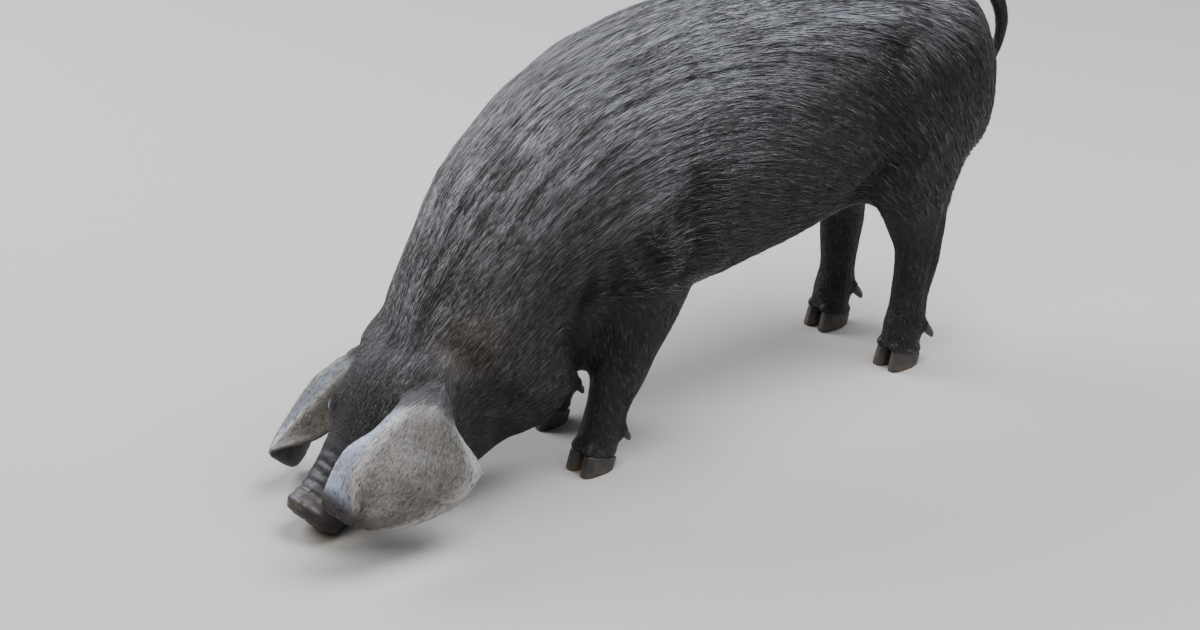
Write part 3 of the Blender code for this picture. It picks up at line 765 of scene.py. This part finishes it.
coatPlan = {
    "thick": 0.18,         # a lock's depth as a share of its width
    "pale": 0.09,          # share of paler hairs
    "patch": 0.003,        # size of each lock's patch on the unwrapped skin
    "floorGap": 0.4 * mm,  # no hair hangs lower than this
    "streaks": [(2.4, 17, 0.8, 51), (6.0, 32, 0.35, 52)],   # width and half length in mm, strength, seed
    # how many degrees the hair points up, at places from neck to rump
    "slope": [(-0.20, 42), (-0.10, 22), (0.0, -8), (0.10, -25), (0.18, -38), (0.24, -58), (0.40, -62)],
    "bellySlope": -12,
    "sway": [(0.06, 0.070, 31), (0.025, 0.020, 32)],   # how the lie wanders: radians, metres, seed
    "stray": 0.035,        # how far single locks turn from it, in radians
    "lengths": (0.65, 1.25),
    "widths": (0.7, 1.3),
    "rises": (0.6, 1.2),
    "tone": (0.45, 0.28, 0.07),   # of a middling lock, added by streaks, spread
    "seed": 40,
}


def lieOfCoat(points, normals):
    # the way the hair lies at each place
    local, place = toHead(points), points - bodyBase
    ahead = np.array(headTurn @ Vector((0, -1, 0)))
    headUp = np.array(headTurn @ Vector((0, 0, 1)))
    side = np.sign(place[:, :1])
    back, down, out = np.array([0, 1.0, 0]), np.array([0, 0, -1.0]), side * np.array([1.0, 0, 0])
    belly = ramp(-normals[:, 2], 0.1, 0.8)
    slope = np.interp(place[:, 1], *np.array(coatPlan["slope"]).T)
    slope = slope * (1 - 0.5 * ramp(place[:, 2], 0.30, 0.37))
    slope = np.radians(slope * (1 - belly) + coatPlan["bellySlope"] * belly)
    way = np.stack((np.zeros(len(points)), np.cos(slope), np.sin(slope)), axis=1)
    rump = ramp(place[:, 1], 0.30, 0.37)[:, None]
    way = way * (1 - rump) + (down + out * 0.25) * rump
    head = ramp(local[:, 0], -0.06, 0.0)[:, None]
    cheek = ramp(-local[:, 1], -0.01, 0.05)[:, None]
    way = way * (1 - head) + (-ahead + headUp * (0.15 - 0.75 * cheek)) * head
    apart = np.maximum(1 - ramp(local[:, 0], -0.10, -0.05), onFoot(points))
    leg = ((1 - ramp(place[:, 2], 0.13, 0.19)) * apart)[:, None]
    foreleg = (place[:, 1] > -0.16) & (place[:, 1] < 0.02)
    legArea = ((np.abs(place[:, 0]) > 0.022) & (foreleg | (place[:, 1] > 0.19)))[:, None]
    return np.where(legArea, way * (1 - leg) + (down + back * 0.18) * leg, way)


def turned(way, normals, angle):
    return way * np.cos(angle)[:, None] + np.cross(normals, way) * np.sin(angle)[:, None]


# coat: solid locks of hair, rooted in the skin

skinTree = BVHTree.FromPolygons(skinPoints, [p.vertices for p in skin.data.polygons])
skin.data.calc_loop_triangles()
triangles = np.empty(len(skin.data.loop_triangles) * 3, dtype=np.int32)
skin.data.loop_triangles.foreach_get("vertices", triangles)
triangles = triangles.reshape(-1, 3)
corners = skinPoints[triangles]
areas = np.linalg.norm(np.cross(corners[:, 1] - corners[:, 0], corners[:, 2] - corners[:, 0]), axis=1) / 2
centres = corners.mean(axis=1)
spots = centres - bodyBase
headCentres = toHead(centres)
earFaces = readMask(skin.data, "ear")[triangles].mean(axis=1)
tailFaces = readMask(skin.data, "tail")[triangles].mean(axis=1)


def nearEyes(points, reach):
    found = np.zeros(len(points))
    for place in eyePlace.values():
        away = np.linalg.norm(points - np.array(place), axis=1)
        found = np.maximum(found, 1 - ramp(away, reach, reach * 1.25))
    return found


def streaks(points, lie):
    # lighter and darker streaks, drawn out along the lie of the coat
    total = np.zeros(len(points))
    for size, reach, share, seed in coatPlan["streaks"]:
        found = np.zeros(len(points))
        steps = int(reach / (0.45 * size))
        for step in range(-steps, steps + 1):
            found += speckle(points + lie * (0.45 * size * mm * step), size * mm, seed) - 0.5
        total += share * found / (0.30 * math.sqrt(2 * steps + 1))
    return total


# how many locks, how wide they are and how high they rise in mm, and the share that stands out
coatPieces = {
    "flank": (33000, 0.6, 0.35, 0.02),
    "flank_over": (22000, 0.95, 0.6, 0.02),
    "neck": (30000, 0.67, 0.35, 0.02),
    "forelegs": (21000, 0.45, 0.25, 0.02),
    "hindlegs": (26000, 0.47, 0.25, 0.02),
    "head": (28000, 0.44, 0.2, 0.02),
    "ears": (12000, 0.28, 0.25, 0.10),
    "tail": (3500, 0.4, 0.35, 0.12),
}


def evenly(value):
    return lambda roots: np.full(len(roots), value)


def pickRoots(draw, density, count):
    # random places on the skin, as the corners of their triangles and each corner's share
    chance = areas * density
    picked = draw.choice(len(areas), size=count, p=chance / chance.sum())
    a, b = draw.random(count), draw.random(count)
    a, b = np.where(a + b > 1, 1 - a, a), np.where(a + b > 1, 1 - b, b)
    return triangles[picked], np.stack((1 - a - b, a, b), axis=1)[:, :, None]


def onSkin(spots):
    # the nearest place on the skin to each spot, and the skin's normal there
    places, normals = np.empty_like(spots), np.empty_like(spots)
    for i, spot in enumerate(spots):
        places[i], normals[i] = skinTree.find_nearest(spot)[:2]
    return places, normals


def meshOfLocks(name, places, corner):
    # each lock has five points: its root, three round the middle and its tip
    count = len(places)
    shape = np.array([(0, 2, 1), (0, 3, 2), (0, 1, 3), (4, 1, 2), (4, 2, 3), (4, 3, 1)])
    loops = (5 * np.arange(count)[:, None, None] + shape[None]).reshape(-1).astype(np.int32)
    mesh = bpy.data.meshes.new(name)
    mesh.vertices.add(5 * count)
    mesh.vertices.foreach_set("co", places.reshape(-1))
    mesh.loops.add(loops.size)
    mesh.loops.foreach_set("vertex_index", loops)
    mesh.polygons.add(6 * count)
    mesh.polygons.foreach_set("loop_start", (3 * np.arange(6 * count)).astype(np.int32))
    mesh.polygons.foreach_set("loop_total", np.full(6 * count, 3, dtype=np.int32))
    mesh.polygons.foreach_set("use_smooth", np.ones(6 * count, dtype=bool))
    mesh.update(calc_edges=True)
    # and is a small patch at its root's place on the unwrapped skin
    step = np.array([[0, 0], [0.5, -0.5], [0.5, 0.5], [0.5, 0], [1, 0]]) * coatPlan["patch"]
    patches = (corner[:, None, :] + step[None]).reshape(-1, 2)
    layer = mesh.uv_layers.new(name="OFBake")
    layer.data.foreach_set("uv", patches[loops].reshape(-1))
    return mesh


def growCoat(name, kind, density, length, chart, seed, way=lieOfCoat, narrow=evenly(0.0)):
    # locks of hair on the skin: density is a weight per triangle, length and what narrow takes off the
    # width are in mm at each root
    count, width, lift, wild = coatPieces[kind]
    draw = np.random.default_rng(coatPlan["seed"] + seed)
    tri, blend = pickRoots(draw, density, count)
    roots = (skinPoints[tri] * blend).sum(axis=1)
    normals = unit((skinNormals[tri] * blend).sum(axis=1))
    lie = unit(across(way(roots, normals), normals))
    lie = turned(lie, normals, sum(turn * ripple(roots, size, seed) for turn, size, seed in coatPlan["sway"]))
    streak = streaks(roots, lie)
    lie = turned(lie, normals, draw.normal(0, coatPlan["stray"], count))
    curved = ramp((bend[tri] * blend[:, :, 0]).sum(axis=1), 0.03, 0.16)
    long = length(roots) * mm * draw.uniform(*coatPlan["lengths"], count) * (1 - 0.5 * curved)
    pale = draw.random(count) < coatPlan["pale"]
    wide = (width - narrow(roots)) * mm * draw.uniform(*coatPlan["widths"], count)
    wide = wide * np.where(pale, 0.55, 1.0)
    stands = (draw.random(count) < wild) * draw.uniform(0.5, 1.5, count)
    tips = roots + lie * long[:, None]
    ends, endNormals = onSkin(tips)
    middles, middleNormals = onSkin((roots + ends) / 2)
    clear = np.linalg.norm(normals - endNormals, axis=1) * long / 14   # keeps it over a bulge
    rise = lift * mm * (draw.uniform(*coatPlan["rises"], count) + 0.55 * np.clip(streak, -1, 1))
    starts = roots - normals * (0.25 * mm) - lie * (0.1 * long)[:, None]
    middles = middles + middleNormals * (rise * (0.9 + stands) + clear)[:, None]
    ends = ends + endNormals * (rise * 0.6 + lift * mm * 3.5 * stands)[:, None]
    sideways = unit(np.cross(lie, middleNormals))
    ring = [
        middles - sideways * (wide / 2)[:, None],
        middles + sideways * (wide / 2)[:, None],
        middles + middleNormals * (wide * coatPlan["thick"])[:, None],
    ]
    places = np.stack([starts, *ring, ends], axis=1)
    places[:, :, 2] = np.maximum(places[:, :, 2], coatPlan["floorGap"])
    mesh = meshOfLocks(name, places, chart(roots))
    middling, byStreak, spreadOut = coatPlan["tone"]
    tone = np.clip(middling + byStreak * streak + draw.normal(0, spreadOut, count), 0, 1)
    addMask(mesh, "tone", np.repeat(tone, 5))
    addMask(mesh, "pale", np.repeat(pale.astype(float), 5))
    # the coat gets the same dust and painted sheen as the skin beneath
    dusty, _, paintedSheen = marksAndSheen(roots, normals)
    addMask(mesh, "dust", np.repeat(dusty, 5))
    addMask(mesh, "paintedSheen", np.repeat(paintedSheen, 5))
    coat = addObject(name, mesh)
    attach(coat, "root")
    print(name, count, "locks")
    return coat


def tubeChart(start, end, low=0.02, high=0.97):
    # unwraps a limb or the body round a straight axis: along it, and round it
    start, end = np.array(start), np.array(end)
    axis = unit(end - start)
    one = unit(np.cross(axis, [0.3, 0.2, 0.9]))
    two = np.cross(axis, one)

    def chart(points):
        arm = points - start
        along = np.clip(arm @ axis / np.linalg.norm(end - start), 0, 1)
        turn = np.arctan2(arm @ two, arm @ one) / (2 * math.pi) + 0.5
        return np.stack((low + (high - low) * along, 0.02 + 0.955 * turn), axis=1)

    return chart


def pairChart(left, right):
    def chart(points):
        return np.where(points[:, :1] > 0, left(points), right(points))

    return chart


hairPlan = {                    # lengths in mm: the first number, then what is added or taken off
    "body": (20.0, 5.0, 6.0),   # on the flanks, along the back, low on the sides
    "backHeight": (0.28, 0.38),
    "sideHeight": (0.11, 0.18),
    "over": 1.25,               # the top coat's length against that
    "neck": (13.0, 9.0),        # at the poll, towards the shoulder
    "neckSpan": (0.0, 0.12),
    "leg": (5.0, 6.5),          # at the claws, at the elbow
    "legSpan": (0.02, 0.14),
    "head": (10.0, 7.2),        # at the poll, at the snout
    "headSpan": (0.01, 0.135),
    "headNarrow": 0.18,         # what is taken off the width at the snout
    "narrowSpan": (0.01, 0.12),
    "ears": 6.0,
    "tail": 11.0,
}


def bodyLength(roots):
    length, onBack, onSide = hairPlan["body"]
    high = ramp(roots[:, 2], *hairPlan["backHeight"])
    low = 1 - ramp(roots[:, 2], *hairPlan["sideHeight"])
    return length + onBack * high - onSide * low


def overLength(roots):
    return hairPlan["over"] * bodyLength(roots)


def neckLength(roots):
    short, added = hairPlan["neck"]
    return short + added * ramp(-toHead(roots)[:, 0], *hairPlan["neckSpan"])


def legLength(roots):
    short, added = hairPlan["leg"]
    return short + added * ramp(roots[:, 2], *hairPlan["legSpan"])


def headLength(roots):
    long, shorter = hairPlan["head"]
    return long - shorter * ramp(toHead(roots)[:, 0], *hairPlan["headSpan"])


def headNarrow(roots):
    return hairPlan["headNarrow"] * ramp(toHead(roots)[:, 0], *hairPlan["narrowSpan"])


def earLie(roots, normals):
    # from the root of the ear to its tip, along the rows of its sheet
    found = np.zeros_like(roots)
    columns, half = earPlan["columns"], earPlan["rows"] * earPlan["columns"]
    for sideName, side in sideOf.items():
        points, faces = earShapes[sideName][:2]
        tree = BVHTree.FromPolygons(points.tolist(), faces)
        for i in ((roots[:, 0] - headBase.x) * side > 0).nonzero()[0]:
            at = faces[tree.find_nearest(roots[i])[2]][0]
            on = at + 5 * columns
            if on // half != at // half or on >= 2 * half:
                at, on = at - 5 * columns, at
            found[i] = points[on] - points[at]
    return found


def tailLie(roots, normals):
    bend = ramp((roots - bodyBase)[:, 1], 0.372, 0.392)[:, None]
    return np.array([0.1, 1.0, 0.5]) * (1 - bend) + np.array([0.0, 0.05, -1.0]) * bend


areaPlan = {   # places from bodyBase or, along the head, from the skull's base
    "headFrom": (-0.035, -0.015),
    "snoutFrom": 0.136,
    "aroundEyes": 0.0085,
    "neck": (-0.19, -0.08),      # from here along the head, to here behind bodyBase
    "foreleg": (-0.155, 0.02),
    "foreHead": -0.09,           # the jowl's side of this is not foreleg
    "hindFrom": 0.17,
    "legTop": 0.165,
    "legInside": 0.018,
    "middle": 0.005,
    "toes": (0.02, 0.05),        # thinner below these heights
}
alongHead, backward, upward = headCentres[:, 0], spots[:, 1], spots[:, 2]
headPart = ramp(alongHead, *areaPlan["headFrom"])
bare = ramp(earFaces, 0.25, 0.8)
body = (1 - headPart) * (1 - bare) * (tailFaces < 0.5)
legSide = np.abs(spots[:, 0]) > areaPlan["legInside"]
foreArea = (backward > areaPlan["foreleg"][0]) & (backward < areaPlan["foreleg"][1])
foreArea &= (upward < areaPlan["legTop"]) & legSide
foreArea &= (alongHead < areaPlan["foreHead"]) | (onFoot(centres) > 0.5)
hindArea = (upward < areaPlan["legTop"]) & (backward > areaPlan["hindFrom"])
trunkPart = body * (~foreArea) * (~hindArea)
neckPart = trunkPart * ((alongHead > areaPlan["neck"][0]) & (backward < areaPlan["neck"][1]))
trunkPart = trunkPart * (neckPart == 0)
onLeft = spots[:, 0] > areaPlan["middle"]
aboveToes = 0.6 + 0.4 * ramp(upward, *areaPlan["toes"])
onFace = headPart * (1 - bare) * (alongHead < areaPlan["snoutFrom"])
onFace = onFace * (1 - nearEyes(centres, areaPlan["aroundEyes"]))


def onBody(side, y, z):
    return bodyBase + (side, y, z)


bodyAxis = tubeChart(onBody(0.005, -0.24, 0.19), onBody(0.005, 0.37, 0.24))
headAxis = tubeChart(onHead(-0.05, 0, 0), onHead(0.16, 0, 0))
neckAxis = tubeChart(onHead(0.02, -0.01, 0), onBody(0.005, 0.0, 0.26))
foreAxis = pairChart(
    tubeChart(onBody(0.055, -0.10, 0), onBody(0.050, -0.06, 0.17), 0.02, 0.47),
    tubeChart(onBody(-0.045, -0.08, 0), onBody(-0.040, -0.04, 0.17), 0.53, 0.97),
)
hindAxis = pairChart(
    tubeChart(onBody(0.060, 0.26, 0), onBody(0.055, 0.27, 0.17), 0.02, 0.47),
    tubeChart(onBody(-0.050, 0.27, 0), onBody(-0.045, 0.28, 0.17), 0.53, 0.97),
)
tailAxis = tubeChart(onBody(0.01, 0.31, 0.33), onBody(0.01, 0.40, 0.30))
coats = []
for sideName, onSide, seed in (("left", onLeft, 1), ("right", ~onLeft, 2)):
    name = "coat_flank_" + sideName
    coats.append(growCoat(name, "flank", trunkPart * onSide, bodyLength, bodyAxis, seed))
    coats.append(growCoat(name + "_over", "flank_over", trunkPart * onSide, overLength, bodyAxis, 10 + seed))
coats += [
    growCoat("coat_neck", "neck", neckPart, neckLength, neckAxis, 3),
    growCoat("coat_forelegs", "forelegs", body * foreArea * aboveToes, legLength, foreAxis, 4),
    growCoat("coat_hindlegs", "hindlegs", body * hindArea * aboveToes, legLength, hindAxis, 5),
    growCoat("coat_head", "head", onFace, headLength, headAxis, 6, narrow=headNarrow),
    growCoat("coat_ears", "ears", earFaces ** 2, evenly(hairPlan["ears"]), headAxis, 7, earLie),
    growCoat("coat_tail", "tail", (tailFaces > 0.4) * 1.0, evenly(hairPlan["tail"]), tailAxis, 8, tailLie),
]

# materials

def addNode(tree, kind, settings=None, inputs=None):
    # each input is a value, or a socket to link from
    node = tree.nodes.new(kind)
    for name, value in (settings or {}).items():
        setattr(node, name, value)
    for socket, value in (inputs or {}).items():
        if isinstance(value, bpy.types.NodeSocket):
            tree.links.new(value, node.inputs[socket])
        else:
            node.inputs[socket].default_value = value
    return node


def newMaterial(name):
    material = bpy.data.materials.new(name)
    material.use_nodes = True
    return material, material.node_tree, material.node_tree.nodes["Principled BSDF"]


def layered(tree, base, layers):
    # colours laid over one another: where each shows, the values it fades in between, how strong, its colour
    for where, low, high, most, colour in layers:
        share = addNode(tree, "ShaderNodeMapRange", None, {0: where, 1: low, 2: high, 3: 0.0, 4: most})
        over = linear(colour) if isinstance(colour, str) else colour
        mix = addNode(tree, "ShaderNodeMix", {"data_type": "RGBA"}, {0: share.outputs[0], 6: base, 7: over})
        base = mix.outputs[2]
    return base


def readMasks(tree, *names):
    return [addNode(tree, "ShaderNodeAttribute", {"attribute_name": name}).outputs["Fac"] for name in names]


def setFinish(shader, plan):
    shader.inputs["Roughness"].default_value = plan["roughness"]
    shader.inputs["IOR"].default_value = plan["ior"]


hidePlan = {
    "black": ("0c0b0b", "181615"),
    # colour of the hide where painted sheen falls on the back
    "paintedSheen": "2a2b2e",
    "ear": ("4a4742", "69655f"),
    "earGrain": "88847d",
    # painted sky sheen on the ears' upturned strip
    "earSkySheen": "949cb0",
    # painted highlight on the ears' rims and fold
    "earRidgeHighlight": "b2aea8",
    # painted light on the ears' root mounds
    "earRootLit": "aba6a3",
    # the brownish inner face of the ears, darkened further as painted shade
    "earInsideBrownAndShade": "2c2420",
    "snout": ("262223", "383231"),
    "soil": ("4f4034", "6b5a49"),
    "roughness": 0.50,
    "ior": 1.45,
    "blotch": 22.2 * mm,      # uneven colour
    "grain": 1.667 * mm,      # fine lines of the skin, drawn coarser than they are so that they show
    "pores": 2.381 * mm,
    "poreDepth": 0.3 * mm,
    "grainDepth": 0.4 * mm,
}


def pigHide():
    # Bare hide over fat: soft satin, near black, with grey ears, a dull snout and dusty feet, and painted
    # sheen lightening it on top.
    material, tree, shader = newMaterial("pig hide")
    plan = hidePlan
    place = addNode(tree, "ShaderNodeTexCoord").outputs["Object"]
    blotch, fine = (
        addNode(tree, "ShaderNodeTexNoise", None, {"Vector": place, "Scale": 1 / size, "Detail": detail})
        .outputs[0] for size, detail in ((plan["blotch"], 4.0), (plan["grain"], 3.0))
    )
    paintedSheen, ear, skySheen, rim, inside, snout, dust = readMasks(
        tree, "paintedSheen", "ear", "earSkySheen", "earRidgeHighlight", "earInsideBrownAndShade", "snout", "dust"
    )
    earColour = layered(tree, linear(plan["ear"][0]), [
        (blotch, 0.35, 0.65, 1.0, plan["ear"][1]),
        (fine, 0.35, 0.65, 0.6, plan["earGrain"]),
        # painted sky sheen on the upturned strip
        (skySheen, 0.0, 1.0, 0.85, plan["earSkySheen"]),
        # painted highlights on the rims and the fold
        (rim, 0.0, 1.0, 0.85, plan["earRidgeHighlight"]),
        # painted light on the ear's root mound
        (paintedSheen, 0.2, 1.0, 0.9, plan["earRootLit"]),
        # brownish inner face, darkened further as painted shade
        (inside, 0.0, 1.0, 0.8, plan["earInsideBrownAndShade"]),
    ])
    snoutColour = layered(tree, linear(plan["snout"][0]), [(blotch, 0.4, 0.7, 1.0, plan["snout"][1])])
    soilColour = layered(tree, linear(plan["soil"][0]), [(fine, 0.35, 0.65, 1.0, plan["soil"][1])])
    colour = layered(tree, linear(plan["black"][0]), [
        (blotch, 0.35, 0.7, 1.0, plan["black"][1]),
        # painted sheen lightens the hide on top
        (paintedSheen, 0.0, 1.0, 1.0, plan["paintedSheen"]),
        (ear, 0.0, 1.0, 1.0, earColour),
        (snout, 0.0, 1.0, 1.0, snoutColour),
        (dust, 0.3, 1.0, 0.75, soilColour),
    ])
    tree.links.new(colour, shader.inputs["Base Color"])
    setFinish(shader, plan)
    pores = addNode(tree, "ShaderNodeTexVoronoi", {"feature": "DISTANCE_TO_EDGE"},
                    {"Vector": place, "Scale": 1 / plan["pores"]})
    creases = addNode(tree, "ShaderNodeBump", None,
                      {"Strength": 0.35, "Distance": plan["poreDepth"], "Height": pores.outputs["Distance"]})
    grain = addNode(tree, "ShaderNodeBump", None, {
        "Strength": 0.35, "Distance": plan["grainDepth"], "Height": fine, "Normal": creases.outputs[0],
    })
    tree.links.new(grain.outputs[0], shader.inputs["Normal"])
    return material


# colours: in shade from dark to light streaks, the same lit where painted sheen falls, and of the paler hairs
bristlePlan = {
    "shade": ("020202", "221d19"),
    # the lit copy of the hair, shown where painted sheen falls
    "paintedLit": ("282727", "87878a"),
    "pale": "77726b",
    "warm": "2a211c",
    "soil": "5a4c40",
    "patches": 71.4 * mm,
    "roughness": 0.36,
    "ior": 1.55,
}
# the grey ear hair, with its own lit copy for the painted sheen
earHairPlan = dict(
    bristlePlan, shade=("343332", "6b6966"), paintedLit=("676665", "a09e9a"), pale="a8a49d", roughness=0.45
)


def pigHair(name, plan):
    # Short coarse hair with a waxy cuticle: each lock catches the light along its length, and painted sheen
    # lightens its colour on top.
    material, tree, shader = newMaterial(name)
    place = addNode(tree, "ShaderNodeTexCoord").outputs["Object"]
    patches = addNode(tree, "ShaderNodeTexNoise", None,
                      {"Vector": place, "Scale": 1 / plan["patches"], "Detail": 3.0}).outputs[0]
    tone, paintedSheen, pale, dust = readMasks(tree, "tone", "paintedSheen", "pale", "dust")
    # lit colours where painted sheen falls, the darker ones elsewhere
    paintedLit = layered(tree, linear(plan["paintedLit"][0]), [(tone, 0.0, 1.0, 1.0, plan["paintedLit"][1])])
    colour = layered(tree, linear(plan["shade"][0]), [
        (tone, 0.0, 1.0, 1.0, plan["shade"][1]),
        (paintedSheen, 0.0, 1.0, 1.0, paintedLit),
        (patches, 0.45, 0.75, 0.4, plan["warm"]),
        (pale, 0.0, 1.0, 0.8, plan["pale"]),
        (dust, 0.3, 1.0, 0.75, plan["soil"]),
    ])
    tree.links.new(colour, shader.inputs["Base Color"])
    setFinish(shader, plan)
    return material


clawPlan = {
    "horn": ("18191c", "303134"),
    "soil": "5d4d3e",
    "soilHeight": (0.002, 0.016),   # soil clings low on the wall, fading out between these
    "grain": 3.846 * mm,
    "patches": 11.11 * mm,
    "ringGap": 2.856 * mm,          # between growth rings
    "ringDepth": 0.4 * mm,
    "grainDepth": 0.3 * mm,
    "roughness": 0.5,
    "ior": 1.54,
    "voxel": 1.0 * mm,
    "dewclawVoxel": 0.75 * mm,
    "rounding": 7,                  # rounds of smoothing
}


def clawHorn():
    # Dense worn horn: satin, blue-black, with growth rings and dust in them.
    material, tree, shader = newMaterial("claw horn")
    plan = clawPlan
    place = addNode(tree, "ShaderNodeTexCoord").outputs["Object"]
    grain, patches = (
        addNode(tree, "ShaderNodeTexNoise", None, {"Vector": place, "Scale": 1 / size, "Detail": detail})
        .outputs[0] for size, detail in ((plan["grain"], 4.0), (plan["patches"], 3.0))
    )
    rings = addNode(tree, "ShaderNodeTexWave", {"bands_direction": "Z"},
                    {"Vector": place, "Scale": math.pi / 10 / plan["ringGap"], "Distortion": 1.5})
    height = addNode(tree, "ShaderNodeSeparateXYZ", None, {0: place}).outputs[2]
    low, high = plan["soilHeight"]
    clinging = addNode(tree, "ShaderNodeMapRange", None, {0: height, 1: low, 2: high, 3: 0.85, 4: 0.15})
    patchy = addNode(tree, "ShaderNodeMapRange", None, {0: patches, 1: 0.3, 2: 0.6, 3: 0.0, 4: 1.0})
    soiled = addNode(tree, "ShaderNodeMath", {"operation": "MULTIPLY"},
                     {0: patchy.outputs[0], 1: clinging.outputs[0]}).outputs[0]
    colour = layered(tree, linear(plan["horn"][0]), [
        (grain, 0.0, 1.0, 1.0, plan["horn"][1]),
        (soiled, 0.0, 1.0, 1.0, plan["soil"]),
    ])
    tree.links.new(colour, shader.inputs["Base Color"])
    setFinish(shader, plan)
    bump = addNode(tree, "ShaderNodeBump", None,
                   {"Strength": 0.4, "Distance": plan["ringDepth"], "Height": rings.outputs["Fac"]})
    rough = addNode(tree, "ShaderNodeBump", None, {
        "Strength": 0.3, "Distance": plan["grainDepth"], "Height": grain, "Normal": bump.outputs[0],
    })
    tree.links.new(rough.outputs[0], shader.inputs["Normal"])
    return material


eyePlan = {
    "pupil": "050404",
    "iris": "24150d",
    "white": "14100e",                   # stained dark in a black pig
    "pupilEdge": (2.6 * mm, 3.0 * mm),   # measured from the front of the eye
    "irisEdge": (6.0 * mm, 6.8 * mm),
    "roughness": 0.07,
    "ior": 1.38,
    "wetCoat": 0.02,                     # roughness of the tear film
    "weld": 0.1 * mm,
    "voxel": 0.6 * mm,
    "rounding": 12,
}


def wetEye(sideName):
    # A wet dark brown eye: the iris hardly shows, and the front gives one sharp highlight.
    material, tree, shader = newMaterial("wet eye " + sideName)
    plan = eyePlan
    place = addNode(tree, "ShaderNodeTexCoord").outputs["Object"]
    front = eyePlace[sideName] + lookOf(sideName)[0] * eyeRadius
    away = addNode(tree, "ShaderNodeVectorMath", {"operation": "DISTANCE"}, {0: place, 1: tuple(front)})
    colour = layered(tree, linear(plan["pupil"]), [
        (away.outputs["Value"], *plan["pupilEdge"], 1.0, plan["iris"]),
        (away.outputs["Value"], *plan["irisEdge"], 1.0, plan["white"]),
    ])
    tree.links.new(colour, shader.inputs["Base Color"])
    setFinish(shader, plan)
    shader.inputs["Coat Weight"].default_value = 1.0
    shader.inputs["Coat Roughness"].default_value = plan["wetCoat"]
    return material


def roundOff(node, voxel, rounds):
    even = node.modifiers.new("even surface", "REMESH")
    even.mode = "VOXEL"
    even.voxel_size = voxel
    even.use_smooth_shade = True
    soft = node.modifiers.new("worn smooth", "SMOOTH")
    soft.factor = 0.5
    soft.iterations = rounds


def finishNodes():
    # claws and eyes keep their nodes, rounded and given their own finish
    horn = clawHorn()
    for name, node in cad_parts.items():
        if "claw" in name:
            node.data.materials.clear()
            node.data.materials.append(horn)
            voxel = clawPlan["voxel" if name.startswith("claw") else "dewclawVoxel"]
            roundOff(node, voxel, clawPlan["rounding"])
        elif name.startswith("eye"):
            node.data.materials.clear()
            node.data.materials.append(wetEye(name[4:]))
            joined = node.modifiers.new("joined", "WELD")
            joined.merge_threshold = eyePlan["weld"]
            fine = node.modifiers.new("round", "SUBSURF")
            fine.levels = fine.render_levels = 2
            roundOff(node, eyePlan["voxel"], eyePlan["rounding"])


skin.data.materials.clear()
skin.data.materials.append(pigHide())
bristle = pigHair("black bristle", bristlePlan)
earHair = pigHair("fine grey ear hair", earHairPlan)
for coat in coats:
    ears = coat.name == "coat_ears"
    coat.data.materials.append(earHair if ears else bristle)
finishNodes()
print("materials set")

# floor, lights and camera

stagePlan = {
    "floor": "aeaba5",
    "half": 12.0,
    "sky": "dfe4ec",
    "skyStrength": 0.22,
    "azimuth": 52.0,        # of the camera, in degrees from straight ahead of the pig
    "elevation": 24.0,
    "distance": 2.7,
    "aim": (0.0203, -0.0807, 0.1248),   # from bodyBase
    "lens": 92.7,
}
lightPlan = {   # place, aim, size, watts, colour
    "key": ((0.5, 0.7, 2.35), (0, 0, 0.2), 2.0, 135, "eef3ff"),
    "side": ((-1.9, -0.6, 1.6), (0, -0.1, 0.15), 1.8, 90, "f4f6ff"),
    "front": ((0.8, -1.6, 1.9), (0, -0.2, 0.12), 1.4, 20, "fff1e0"),
}


def makeFloor():
    half = stagePlan["half"]
    mesh = bpy.data.meshes.new("floor")
    corners = [(-half, -half, 0), (half, -half, 0), (half, half, 0), (-half, half, 0)]
    mesh.from_pydata(corners, [], [(0, 1, 2, 3)])
    floor = addObject("floor", mesh)
    material, tree, shader = newMaterial("pale studio floor")
    shader.inputs["Base Color"].default_value = linear(stagePlan["floor"])
    shader.inputs["Roughness"].default_value = 0.9
    mesh.materials.append(material)


def makeWorld():
    world = bpy.data.worlds.new("studio")
    world.use_nodes = True
    background = world.node_tree.nodes["Background"]
    background.inputs["Color"].default_value = linear(stagePlan["sky"])
    background.inputs["Strength"].default_value = stagePlan["skyStrength"]
    bpy.context.scene.world = world


def addLight(name, place, aim, size, power, colour):
    data = bpy.data.lights.new(name, "AREA")
    data.shape = "DISK"
    data.size = size
    data.energy = power
    data.color = linear(colour)[:3]
    light = bpy.data.objects.new(name, data)
    light.location = place
    light.rotation_mode = "QUATERNION"
    light.rotation_quaternion = (Vector(aim) - Vector(place)).to_track_quat("-Z", "Y")
    bpy.context.scene.collection.objects.link(light)


def makeCamera():
    azimuth, elevation = math.radians(stagePlan["azimuth"]), math.radians(stagePlan["elevation"])
    back = Vector((
        math.sin(azimuth) * math.cos(elevation),
        -math.cos(azimuth) * math.cos(elevation),
        math.sin(elevation),
    ))
    data = bpy.data.cameras.new("camera")
    data.lens = stagePlan["lens"]
    camera = bpy.data.objects.new("camera", data)
    camera.location = Vector(bodyBase) + Vector(stagePlan["aim"]) + back * stagePlan["distance"]
    camera.rotation_mode = "QUATERNION"
    camera.rotation_quaternion = (-back).to_track_quat("-Z", "Y")
    bpy.context.scene.collection.objects.link(camera)
    bpy.context.scene.camera = camera


makeFloor()
makeWorld()
for name, values in lightPlan.items():
    addLight(name, *values)
makeCamera()
print("stage set")
